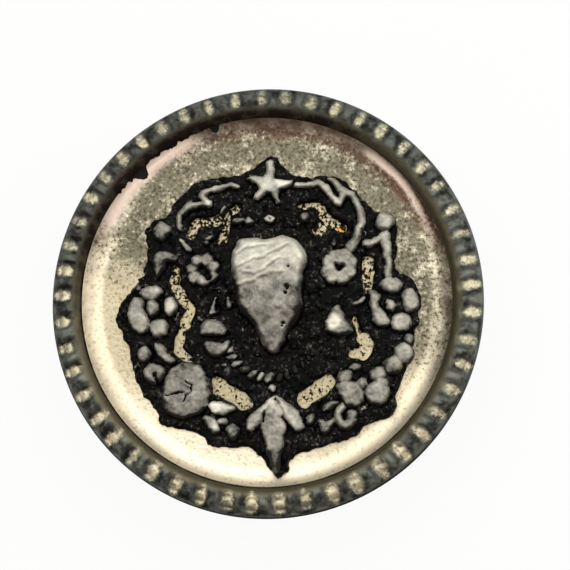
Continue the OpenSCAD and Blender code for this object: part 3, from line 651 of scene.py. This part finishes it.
def linerEdge(bearing):
    g = liner["gap"]
    gap = ease(bearing, g[0], g[1]) * (1 - ease(bearing, g[2], g[3]))
    edge = linerHigh.x - gap * (linerHigh.x - liner["gapRadius"])
    for at, half, reach in liner["tears"]:
        edge -= reach * np.maximum(1 - np.abs(bearing - at) / half, 0) ** 0.8 * gap
    level = bearing * 0
    ragged = 0.09 * lumps(bearing, level, 1.3, liner["seed"]) + 0.05 * lumps(bearing, level, 0.4, 5)
    return edge + gap * ragged


def linerRegion(x, y):
    reach = np.hypot(x, y)
    pins = np.minimum(np.hypot(x, y - liner["pinAt"]), np.hypot(x, y + liner["pinAt"]))
    return np.maximum(reach - linerEdge(bearingOf(x, y)), liner["pinHole"] - pins)


def linerTop(x, y):
    out = np.clip(np.hypot(x, y) - floorRadius, 0, liner["coveRun"])
    z = floorZ + coveArc - np.sqrt(coveArc ** 2 - out ** 2)
    return z + liner["uneven"] * lumps(x, y, 0.8, 11) * (1 - ease(out, 1.2, 1.5)) - liner["uneven"]


def linerUnder(x, y):
    out = np.clip(np.hypot(x, y) - floorRadius, 0, coveArc)
    arc = coveArc + liner["sheet"]
    return np.minimum(floorZ + coveArc - np.sqrt(arc ** 2 - out ** 2), linerHigh.z - liner["sheet"])


reach = linerHigh.x + liner["step"]
points, faces = gridShell(linerRegion, linerTop, linerUnder, liner["step"], (-reach, -reach), (reach, reach))
radius = np.hypot(points[:, 0], points[:, 1])
side = bearingOf(points[:, 0], points[:, 1])
topMark = sector(side, *liner["topCove"])
tornMark = sector(side, *liner["torn"])
coveMark = ease(radius, 12.1 + 0.8 * topMark, 12.6 + 0.9 * topMark)
band = liner["highlightStreak"]
begin, full, fading, end = band["bearings"]
streakAt = band["radius"] - band["inset"] * ease(side, *band["insetOver"])
streakHalf = np.where(radius < streakAt, *band["halves"])  # it fades slowly inwards
highlightStreak = ease(side, begin, full) * (1 - ease(side, fading, end))
highlightStreak = highlightStreak * (1 - ease(np.abs(radius - streakAt), band["core"], streakHalf))
# painted highlight: a pale pink lip under the tear
tornLip = sector(side, *liner["tornLip"]) * ease(radius, 12.7, 13.2)
pinkHighlightMark = np.clip(highlightStreak + tornLip, 0, 1)
# brown tarnish and painted shade in the cove
brownAndShadeMark = sum(strength * sector(side, *span) * ease(radius, *radii)
                for strength, span, radii in liner["brownedAndShaded"])
brownAndShadeMark = np.clip(brownAndShadeMark - highlightStreak, 0, 1)
middleMark = 1 - ease(radius, *liner["middle"])
# the upper floor is greyed, flaked and pitted, its greying a painted shade that darkens towards the top; the
# cove keeps its pale colour except by the tear and on the right
brightCove = 0.85 - 0.65 * np.maximum(tornMark, sector(side, *liner["greyCove"]))
dullAndShadeMark = sector(side, *liner["dulledAndShaded"]) * (1 - brightCove * coveMark)
dullAndShadeMark = dullAndShadeMark * (1 - 0.85 * middleMark)
speckleMark = middleMark * (0.6 + 0.4 * ease(points[:, 1], -3, 3))
sideSplash = sum(strength * sector(side, *span) for strength, span in liner["splashed"])
splashMark = np.maximum(middleMark, sideSplash * (1 - 0.6 * coveMark))
linerMarks = {"cove": coveMark, "brownAndShade": brownAndShadeMark, "dullAndShade": dullAndShadeMark, "pinkHighlight": pinkHighlightMark,
              "splash": splashMark, "speckle": speckleMark}
makePiece("liner_gilt", points, faces, linerMarks, giltBrass(), "face_dish", sharp=40)


# wreath: cast openwork on a pierced ground, its motifs in millimetres on the face

wreath = {
    "step": 0.07, "low": (-11.62, -13.6), "high": (12.2, 11.4),  # grid and its corners
    "ground": 0.46, "foot": 0.4, "relief": 1.15, "rib": 1.0, "clear": 0.02,  # heights over the liner's floor
    "warp": 0.1, "bevel": 0.34, "grow": 0.06, "paintedSideLight": 0.24, "seed": 21,
    "edge": [  # outline of the ground
        (-11.2, -1.45), (-10.95, -0.35), (-10.25, 0.6), (-9.6, 1.4), (-9.15, 2.2), (-8.95, 3.5),
        (-9.05, 5.25), (-8.5, 5.95), (-7.3, 6.5), (-6.9, 7.4), (-5.95, 8.4), (-4.9, 9.1), (-2.6, 9.45),
        (-1.3, 9.75), (-0.4, 10.3), (0.5, 10.85), (1.4, 10.2), (1.9, 9.55), (2.92, 9.25), (5.16, 9.2),
        (6.4, 8.55), (7.39, 7.38), (8.26, 6.39), (9.63, 6.27), (9.88, 4.77), (9.75, 2.04), (10.62, 1.54),
        (11.37, 0.55), (11.4, -1.19), (11.0, -2.8), (10.75, -4.3), (10.15, -5.6), (9.75, -6.9), (9.5, -8.1),
        (9.05, -8.75), (7.7, -9.15), (6.9, -9.8), (6.0, -10.3), (4.8, -10.6), (3.65, -11.0), (2.25, -11.5),
        (1.75, -12.4), (1.0, -13.12), (0.22, -12.35), (-0.2, -11.5), (-1.2, -10.95), (-3.4, -10.9),
        (-4.5, -10.4), (-5.3, -9.7), (-6.5, -9.5), (-7.6, -9.35), (-7.9, -8.6), (-8.4, -7.8), (-9.25, -6.8),
        (-9.75, -5.3), (-10.2, -3.6), (-10.9, -2.4),
    ],
    "petals": [  # x, y, half width, half height, turn, tone
        (-8.45, 0.42, 0.86, 0.6, 0, 0.52), (-8.36, -0.66, 0.42, 0.72, 0, 0.42),
        (-6.95, -0.57, 0.5, 0.74, 0, 0.6), (-7.8, -2.16, 0.72, 0.7, 0, 0.46),
        (9.32, 0.82, 0.8, 0.6, -15, 0.5), (9.22, -0.62, 0.42, 0.44, 0, 0.42),
        (10.65, -0.3, 0.62, 0.92, 5, 0.56), (10.03, -1.88, 0.8, 0.75, 10, 0.5),
        (-8.86, -4.1, 0.54, 0.58, 0, 0.38), (-8.14, -5.54, 0.8, 0.75, 0, 0.32),
        (10.16, -4.12, 0.7, 0.76, 0, 0.44), (9.35, -4.98, 0.72, 0.64, 30, 0.34),
        (10.5, -3.15, 0.36, 0.4, 0, 0.2), (8.95, 5.58, 0.76, 0.7, 0, 0.56),
        (-7.75, 5.12, 0.72, 0.66, 0, 0.34), (3.0, 5.96, 0.34, 0.4, 0, 0.42),
        (-4.19, 4.55, 0.32, 0.2, 25, 0.6), (-4.35, 4.1, 0.16, 0.16, 0, 0.4),
        (-2.29, -9.76, 0.44, 0.56, 15, 0.36), (-3.0, -9.02, 0.44, 0.28, -10, 0.4),
        (3.34, -8.9, 0.3, 0.4, 0, 0.26), (-1.9, 5.75, 0.42, 0.26, 10, 0.4),
        (-1.15, 5.68, 0.34, 0.34, 0, 0.34), (5.88, -5.9, 0.62, 0.5, 20, 0.34),
        (5.85, -6.5, 0.5, 0.6, 0, 0.34), (6.52, -7.05, 0.95, 0.92, 0, 0.36),
        (8.24, -7.02, 0.9, 0.88, 0, 0.42), (8.3, -5.68, 0.66, 0.58, 0, 0.38),
        (6.6, -5.23, 0.5, 0.3, 10, 0.34), (7.2, -6.35, 0.32, 0.44, 0, 0.44), (8.5, -6.35, 0.5, 0.5, 0, 0.4),
        (0.6, -6.65, 0.26, 0.3, 0, 0.75),
    ],
    "plates": [  # tone, outline
        (0.5, [(-9.65, 0.2), (-9.0, -0.1), (-8.92, -0.95), (-8.6, -1.45), (-8.54, -2.05), (-9.0, -2.58),
               (-9.72, -2.32), (-10.1, -1.55), (-10.06, -0.5)]),
        (0.3, [(-7.35, -6.1), (-6.9, -5.25), (-5.97, -4.78), (-4.95, -4.95), (-4.15, -5.6), (-4.0, -6.45),
               (-4.1, -7.45), (-4.5, -8.32), (-5.48, -8.7), (-6.6, -8.74), (-7.28, -8.17), (-7.43, -7.19)]),
        (0.34, [(-8.1, -3.25), (-7.44, -3.45), (-7.05, -4.1), (-6.5, -4.62), (-7.05, -4.9), (-7.6, -4.5),
                (-7.95, -4.0)]),
        (0.78, [(-4.14, -7.75), (-3.52, -7.55), (-2.66, -7.75), (-2.0, -8.17), (-2.78, -8.5),
                (-3.52, -8.42), (-3.9, -8.2)]),
        (0.42, [(-4.3, -8.5), (-3.75, -8.65), (-3.4, -9.2), (-3.2, -9.7), (-3.75, -9.85), (-4.2, -9.4),
                (-4.5, -8.85)]),
        (0.42, [(-4.75, -2.62), (-4.55, -1.88), (-3.88, -1.54), (-3.12, -1.76), (-2.72, -2.41),
                (-3.0, -2.74), (-4.0, -2.8)]),
        (0.36, [(-4.5, -3.4), (-4.2, -3.2), (-3.2, -3.24), (-2.7, -3.1), (-2.5, -3.35), (-2.75, -3.85),
                (-3.2, -4.2), (-3.8, -4.25), (-4.3, -3.95)]),
        (0.5, [(7.75, 0.4), (8.5, 0.2), (8.44, -0.82), (9.0, -1.3), (9.12, -1.95), (8.6, -2.28),
               (8.08, -1.95), (7.75, -1.0)]),
        (0.38, [(3.92, -8.9), (4.44, -9.02), (5.04, -8.82), (4.92, -9.6), (4.44, -9.92), (4.0, -9.6)]),
        (0.36, [(4.15, -8.35), (4.75, -7.68), (5.42, -7.66), (4.85, -8.25)]),
        (0.4, [(4.6, -2.6), (4.58, -1.9), (4.84, -1.1), (5.3, -0.6), (5.8, -0.95), (6.1, -1.7),
               (6.55, -2.55), (5.75, -2.75)]),
        (0.54, [(0.8, -7.25), (0.16, -7.6), (-0.6, -8.25), (-1.18, -9.0), (-1.1, -9.7), (-0.55, -9.55),
                (-0.15, -8.9)]),
        (0.5, [(0.77, -7.25), (1.65, -7.6), (2.3, -8.15), (2.8, -8.9), (2.85, -9.55), (2.36, -9.72),
               (1.95, -9.4)]),
        (0.42, [(0.7, -7.5), (1.45, -8.3), (1.55, -9.4), (1.46, -10.6), (1.18, -11.85), (0.82, -12.8),
                (0.42, -11.7), (0.0, -10.6), (-0.25, -9.6), (-0.1, -8.6)]),
        (0.44, [(-4.3, 7.3), (-5.3, 7.28), (-5.76, 7.34), (-6.15, 6.95), (-6.52, 6.42), (-6.6, 5.85),
                (-6.48, 5.25), (-6.2, 5.2), (-6.06, 6.1), (-5.82, 6.48), (-5.2, 6.76), (-4.3, 6.97)]),
        (0.32, [(-8.12, 3.47), (-7.43, 3.64), (-6.78, 3.38), (-6.66, 2.85), (-7.3, 2.7), (-7.5, 2.2),
                (-8.0, 1.5), (-8.28, 2.61)]),
    ],
    "ribbons": [  # path, half width at each end, tone
        ([(-1.84, 8.36), (-2.41, 8.52), (-3.24, 8.44), (-4.18, 8.22)], (0.15, 0.22), 0.66),
        ([(-4.18, 8.22), (-4.7, 7.9), (-4.42, 7.5), (-4.1, 7.25)], (0.28, 0.28), 0.62),
        ([(2.5, 8.42), (3.28, 8.54), (4.07, 8.56), (4.53, 8.22), (4.9, 7.8), (5.3, 7.3),
          (5.6, 7.05)], (0.2, 0.28), 0.6),
        ([(5.6, 7.05), (5.85, 7.4), (5.9, 7.8)], (0.24, 0.26), 0.5),
        ([(4.95, 8.75), (5.4, 8.5), (5.75, 8.0)], (0.2, 0.24), 0.5),
        ([(5.8, 8.0), (6.24, 7.72), (6.76, 7.26), (7.09, 6.62), (7.28, 5.88),
          (7.18, 5.2)], (0.28, 0.26), 0.54),
        ([(7.11, 5.17), (6.88, 4.51), (6.68, 4.06), (6.3, 3.65)], (0.24, 0.33), 0.44),
        ([(7.47, 3.92), (8.19, 4.12), (8.78, 4.5)], (0.28, 0.32), 0.46),
        ([(8.95, 4.45), (9.0, 3.6)], (0.42, 0.38), 0.46),
        ([(9.0, 3.6), (9.15, 2.6), (9.05, 1.6)], (0.36, 0.24), 0.44),
        ([(5.75, -7.97), (5.36, -8.5), (5.46, -9.05), (5.88, -9.28), (6.3, -9.0),
          (6.42, -8.5)], (0.28, 0.3), 0.42),
        ([(6.73, -0.56), (7.25, -0.06)], (0.12, 0.18), 0.55),
        ([(-3.85, -1.0), (-3.75, -0.65), (-3.5, 0.1)], (0.2, 0.06), 0.6),
        ([(-2.65, -0.6), (-2.6, -0.15)], (0.2, 0.15), 0.4),
        ([(-6.31, 4.42), (-5.71, 3.79)], (0.12, 0.2), 0.66),
        ([(-3.18, 6.45), (-2.93, 6.83)], (0.1, 0.08), 0.4),
        ([(0.08, 5.96), (0.35, 6.14), (0.62, 5.96), (0.35, 5.78), (0.08, 5.96)], (0.1, 0.1), 0.8),
    ],
    "pin": {"at": 4.4, "radius": 0.6, "head": 0.95, "low": -0.55, "shoulder": -0.25, "high": 0.27,
            "sides": 32},
    "widen": 0.07,  # each ribbon's worn edge takes this much of its half width
    "glints": [  # painted highlights: x, y, radius, added tone; a negative one darkens
        (5.02, -1.75, 0.75, 0.55), (-3.75, -7.95, 0.7, 0.45), (-7.0, -0.5, 0.5, 0.15),
        (0.4, 8.6, 0.6, 0.15), (-4.2, 7.25, 0.3, 0.3), (1.4, 8.8, 0.7, 0.42), (0.3, -7.9, 0.7, 0.3),
        (-3.45, -9.15, 0.5, 0.35), (0.6, -7.35, 0.5, 0.35), (1.3, -8.2, 0.6, 0.2), (1.8, -9.0, 0.7, 0.38),
        (-4.0, -8.0, 0.5, 0.25), (0.85, -11.7, 1.0, -0.24),
    ],
    "swag": {"centre": (0.4, -2.45), "radius": 3.4, "bearings": (203, 337, 13), "bead": (0.3, 0.5),
             "tones": (0.1, 0.56)},
    "rosettes": [  # centre, ring radius, lobes, lobe radius, tone
        ((5.55, 2.25), 0.8, 8, 0.66, 0.44), ((-4.6, 2.15), 0.82, 7, 0.54, 0.44),
    ],
    "star": {"tone": 0.6, "points": [
        (0.48, 10.42), (0.8, 10.2), (0.8, 9.1), (1.0, 9.0), (2.2, 8.9), (2.0, 8.5), (1.15, 8.12),
        (1.02, 7.8), (1.22, 7.12), (0.95, 7.0), (0.55, 7.72), (0.2, 7.82), (-0.45, 7.36), (-0.78, 7.56),
        (-0.38, 8.2), (-0.5, 8.4), (-1.25, 9.0), (-1.0, 9.25), (-0.05, 9.2), (0.14, 9.4), (0.14, 10.2),
    ]},
    "boss": {
        "outline": [(-1.9, 4.2), (-0.9, 4.5), (0.4, 4.45), (1.62, 4.65), (2.8, 4.0), (3.33, 2.75), (3.0, 1.4),
                    (2.8, -1.2), (1.95, -2.45), (1.35, -3.8), (0.63, -4.2), (-0.25, -3.5), (-0.75, -2.3),
                    (-1.85, -0.75), (-2.2, 0.99), (-2.55, 2.83)],
        "top": 2.12, "knob": 1.3, "bevel": 0.6, "tone": 0.66,
        "ridges": [[(-2.03, 3.26), (-1.36, 3.63), (-0.47, 3.9), (0.12, 3.9)],
                   [(-1.66, 2.37), (-0.77, 2.82), (0.12, 3.04), (0.86, 3.41), (1.9, 3.78)],
                   [(-1.44, 1.78), (-0.62, 1.78), (0.27, 2.23), (1.16, 2.9)],
                   [(-1.88, 0.93), (-1.07, 1.08), (-0.17, 1.56), (0.71, 1.78), (1.45, 2.0)]],
        "pits": [(1.79, 0.65, 0.24), (1.72, 0.25, 0.12), (1.5, -1.95, 0.18), (1.35, -2.2, 0.12),
                 (1.86, 2.2, 0.13)],
        "hollow": (0.5, -3.55, 0.42),
    },
    "openings": [  # path, half width
        ([(-5.5, 4.95), (-5.35, 5.6), (-4.8, 5.95), (-4.1, 5.9), (-3.4, 6.15), (-2.95, 6.3)], 0.38),
        ([(-2.95, 6.3), (-2.9, 5.5), (-3.25, 4.45)], 0.32), ([(-2.45, 6.65), (-2.1, 7.0)], 0.26),
        ([(2.7, 7.0), (3.7, 7.1), (4.4, 6.75)], 0.22),
        ([(4.25, 6.6), (4.7, 5.9), (4.3, 5.35), (4.0, 5.05)], 0.38),
        ([(4.6, 5.7), (5.3, 5.6), (5.75, 5.3)], 0.36),
        ([(-6.75, 2.3), (-6.75, 1.2), (-6.3, 0.25), (-5.55, -0.6), (-5.95, -1.65), (-6.4, -2.9),
          (-6.5, -3.75), (-5.75, -4.4)], 0.36),
        ([(7.7, 2.8), (7.65, 0.75)], 0.38), ([(6.6, -1.5), (7.0, -2.6)], 0.16),
        ([(7.25, -2.95), (7.55, -3.35), (7.25, -4.15), (6.65, -4.1)], 0.42),
        ([(-3.55, -6.4), (-1.5, -7.6)], 0.6), ([(4.6, -6.25), (2.9, -7.4)], 0.58),
    ],
    "cracks": [  # path, half width, depth
        ([(-7.14, -7.14), (-6.21, -6.94), (-5.84, -6.95)], 0.045, 0.16),
        ([(-5.72, -6.08), (-5.25, -6.33), (-5.4, -6.94), (-5.84, -7.19), (-5.92, -7.6)], 0.055, 0.2),
        ([(-8.1, -5.6), (-7.85, -6.25)], 0.13, 0.35), ([(5.4, 2.4), (5.6, 2.15), (5.8, 2.25)], 0.18, 0.5),
        ([(-4.4, 1.9), (-4.2, 1.6)], 0.3, 0.5), ([(7.4, -7.3), (7.45, -8.0)], 0.1, 0.4),
        ([(1.4, -8.6), (1.75, -9.3)], 0.07, 0.3), ([(0.1, -8.3), (-0.1, -9.0)], 0.07, 0.3),
    ],
}


def wreathMotifs():
    made = []  # distance, height, bevel, tone
    relief, rib, bevel, grow = (wreath[key] for key in ("relief", "rib", "bevel", "grow"))
    for x, y, halfX, halfY, turn, tone in wreath["petals"]:
        half = (halfX + grow, halfY + grow)
        made.append((lambda u, v, a=(x, y), h=half, t=turn: ellipseDistance(u, v, a, h, t),
                     relief, min(0.85 * halfX, 0.85 * halfY, 0.45), tone))
    for tone, points in wreath["plates"]:
        outline = curve(points, closed=True, steps=3)
        made.append((lambda u, v, p=outline: outlineDistance(u, v, p) - grow, relief, bevel, tone))
    for path, half, tone in wreath["ribbons"]:
        made.append((lambda u, v, p=curve(path), r=half: strokeDistance(u, v, p, *r) - wreath["widen"],
                     rib, min(half) + 0.05, tone))
    swag = wreath["swag"]
    draw = np.random.default_rng(wreath["seed"])
    for a in np.linspace(*swag["bearings"]):
        left = 1 - ease(a, 265, 310)  # the swag is worn away towards the right
        c, s = math.cos(math.radians(a)), math.sin(math.radians(a))
        at = (swag["centre"][0] + swag["radius"] * c, swag["centre"][1] + swag["radius"] * s)
        half = [side * (0.6 + 0.4 * left) for side in swag["bead"]]
        made.append((lambda u, v, p=at, h=half, t=a + 60: ellipseDistance(u, v, p, h, t),
                     rib * (0.7 + 0.15 * left), 0.24, draw.uniform(*swag["tones"]) * left))
    for (x, y), ring, count, half, tone in wreath["rosettes"]:
        for k in range(count):
            a = 2 * math.pi * k / count + 0.3
            at = (x + ring * math.cos(a), y + ring * math.sin(a))
            made.append((lambda u, v, p=at, r=half: ellipseDistance(u, v, p, (r, r)), rib, 0.32, tone))
    star = wreath["star"]
    made.append((lambda u, v: outlineDistance(u, v, star["points"]) - grow, relief, 0.28, star["tone"]))
    return made


motifs = wreathMotifs()
bossOutline = curve(wreath["boss"]["outline"], closed=True)
groundEdge = curve(wreath["edge"], closed=True, steps=3)


def warped(x, y):
    seed, amount = wreath["seed"], wreath["warp"]
    return x + amount * lumps(x, y, 0.6, seed), y + amount * lumps(x, y, 0.6, seed + 1)


def wreathRegion(x, y):
    u, v = warped(x, y)
    pads = np.full(np.shape(x), farOff)
    for motif in motifs:
        pads = np.minimum(pads, motif[0](u, v))
    holes = np.full(np.shape(x), farOff)
    for path, half in wreath["openings"]:
        holes = np.minimum(holes, strokeDistance(u, v, path, half, half))
    holes = holes + 0.07 * lumps(x, y, 0.4, 45)
    body = outlineDistance(u, v, groundEdge) + 0.08 * lumps(x, y, 0.45, 46) + 0.05 * lumps(x, y, 0.2, 48)
    return np.minimum(np.maximum(body, -holes), pads - 0.06)


def domed(d, bevel):
    return np.sqrt(1 - (1 - np.clip(-d / bevel, 0, 1)) ** 2)


def bossForm(x, y, u, v):
    boss, foot = wreath["boss"], wreath["foot"]
    d = outlineDistance(*warped(x, y), bossOutline)
    fold = np.zeros(x.shape)
    for path in boss["ridges"]:
        fold = np.maximum(fold, 1 - ease(strokeDistance(u, v, curve(path), 0, 0), 0.02, 0.26))
    crest = boss["knob"] + (boss["top"] - boss["knob"]) * ease(y, -4.4, -0.4)
    crest = crest + 0.1 * fold + 0.05 * lumps(x, y, 0.55, 34) + 0.02 * lumps(x, y, 0.2, 39)
    raised = foot + (crest - foot) * domed(d, boss["bevel"])
    # painted light and shade: the boss is paler on its upper part, at its upper right and along its folds,
    # darker at its edges, and its low knob is lifted
    lit = boss["tone"] - 0.42 * (1 - ease(y, 0.4, 2.9)) + 0.26 * (1 - ease(y, -2.6, -1.0))
    lit = lit + 0.14 * ease(x + y, 3.0, 5.8) + 0.22 * fold - 0.2 * (1 - ease(-d, 0.1, 0.6))
    return d, raised, lit


def wreathRelief(x, y):
    foot = wreath["foot"]
    u, v = warped(x, y)
    u, v = u + 0.05 * lumps(x, y, 0.22, 41), v + 0.05 * lumps(x, y, 0.22, 42)
    inset = np.clip(-wreathRegion(x, y) / 0.28, 0, 1)
    grit = ease(lumps(x, y, 0.26, 35) + 0.5 * lumps(x, y, 0.6, 36), 0.35, 0.9)
    ground = wreath["ground"] + 0.08 * lumps(x, y, 0.9, 31) + 0.05 * lumps(x, y, 0.35, 32) + 0.16 * grit
    height = ground * (0.45 + 0.55 * np.sqrt(1 - (1 - inset) ** 2))
    bare = 0.5 * ease(grit, 0.3, 0.9) * ease(lumps(x, y, 0.8, 37), -0.2, 0.5)  # crumbs of metal in the black
    tone = 0.1 + 0.12 * lumps(x, y, 0.7, 47)
    rough = 0.035 * lumps(x, y, 0.42, 38) + 0.02 * lumps(x, y, 0.2, 40)
    for distance, top, bevel, shade in motifs:
        d = distance(u, v)
        raised = foot + (top - foot + rough) * (0.25 + 0.75 * domed(d, bevel))
        over = (d < 0) & (raised > height)
        height = np.where(over, raised, height)
        bare = np.where(over, ease(-d, -0.02, 0.13), bare)
        tone = np.where(over, shade - 0.04 - 0.26 * (1 - ease(-d, 0.02, 0.4)), tone)  # the sides stay darker
    d, raised, lit = bossForm(x, y, u, v)
    over = (d < 0) & (raised > height)
    height = np.where(over, raised, height)
    bare = np.where(over, ease(-d, 0.0, 0.2), bare)
    tone = np.where(over, lit, tone)
    boss = wreath["boss"]
    hx, hy, hr = boss["hollow"]
    sunk = (1 - ease(np.hypot(x - hx, y - hy), 0.1, hr)) * over
    height, tone = height - 0.12 * sunk, tone - 0.12 * sunk
    for px, py, r in boss["pits"]:
        dent = 1 - ease(np.hypot(u - px, v - py), r * 0.5, r * 1.1)
        height, bare = height - 0.25 * dent, bare * (1 - dent)
    # painted highlights on the bare metal
    for gx, gy, r, added in wreath["glints"]:
        tone = tone + added * (1 - ease(np.hypot(x - gx, y - gy), r * 0.5, r)) * (bare > 0.5)
    for path, half, depth in wreath["cracks"]:
        dent = 1 - ease(strokeDistance(u, v, path, half, half), -half, half * 0.6)
        height, bare = height - depth * dent * (height > 0.7), bare * (1 - dent)
    return height, bare, tone


def pinShell(y):
    pin = wreath["pin"]
    ring = np.arange(pin["sides"]) * 2 * np.pi / pin["sides"]
    levels = [(pin["head"], pin["low"]), (pin["head"], pin["shoulder"]), (pin["radius"], pin["shoulder"]),
              (pin["radius"], pin["high"])]
    n = len(ring)
    made = [np.stack([r * np.cos(ring), y + r * np.sin(ring), np.full(n, floorZ + z)], 1) for r, z in levels]
    sides = []
    for k in range(3):
        for i in range(n):
            j = (i + 1) % n
            sides.append([k * n + i, k * n + j, (k + 1) * n + j, (k + 1) * n + i])
    return np.concatenate(made), sides + [list(range(n))[::-1], list(range(3 * n, 4 * n))]


points, faces = gridShell(wreathRegion, lambda x, y: floorZ + wreathRelief(x, y)[0], floorZ, wreath["step"],
                          wreath["low"], wreath["high"])
coveClear = linerTop(points[:, 0], points[:, 1]) + wreath["clear"]
points[:, 2] = np.maximum(points[:, 2], coveClear)
height, bare, tone = wreathRelief(points[:, 0], points[:, 1])
nudge = wreath["step"]
below, above = (wreathRelief(points[:, 0], points[:, 1] + dy)[0] for dy in (-nudge, nudge))
# painted light: sides that face up the face are paler, those facing down darker
tone = tone + wreath["paintedSideLight"] * np.clip((below - above) / (2 * nudge), -1, 1)
bare = np.where(points[:, 2] > floorZ + 0.1, bare, 0)
for y in (wreath["pin"]["at"], -wreath["pin"]["at"]):  # the two fixing pins, out of sight behind the liner
    pinPoints, pinFaces = pinShell(y)
    faces += [[k + len(points) for k in f] for f in pinFaces]
    points = np.concatenate([points, pinPoints])
bare, tone = (np.pad(mark, (0, len(points) - len(mark))) for mark in (bare, tone))
wreathMarks = {"bare": bare, "tone": tone}
makePiece("wreath_cast", points, faces, wreathMarks, lacqueredCasting(), "ornament", sharp=70)


# pieces that keep their solid form

finishes = {
    # the pasteboard's near black is painted shade: it shows only in the gaps about the liner's edge
    "card_filler": ("pressed pasteboard, blackened as painted shade", "#0d0b09", "#1c1713", 0.5, 0.0, (0.8, 0.95), 0.05),
    "back_plate": ("sheet iron, pressed and japanned", "#16130f", "#3b2a1f", 1.4, 0.0, (0.28, 0.55), 0.04),
    "shank_loop": ("drawn iron wire, tinned", "#6c6a64", "#a3a097", 0.35, 1.0, (0.3, 0.45), 0.02),
}
for node, (name, low, high, size, metallic, roughness, relief) in finishes.items():
    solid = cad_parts[node]
    solid.data.materials.clear()
    solid.data.materials.append(plainFinish(name, low, high, size, metallic, roughness, relief))
print("finishes set")
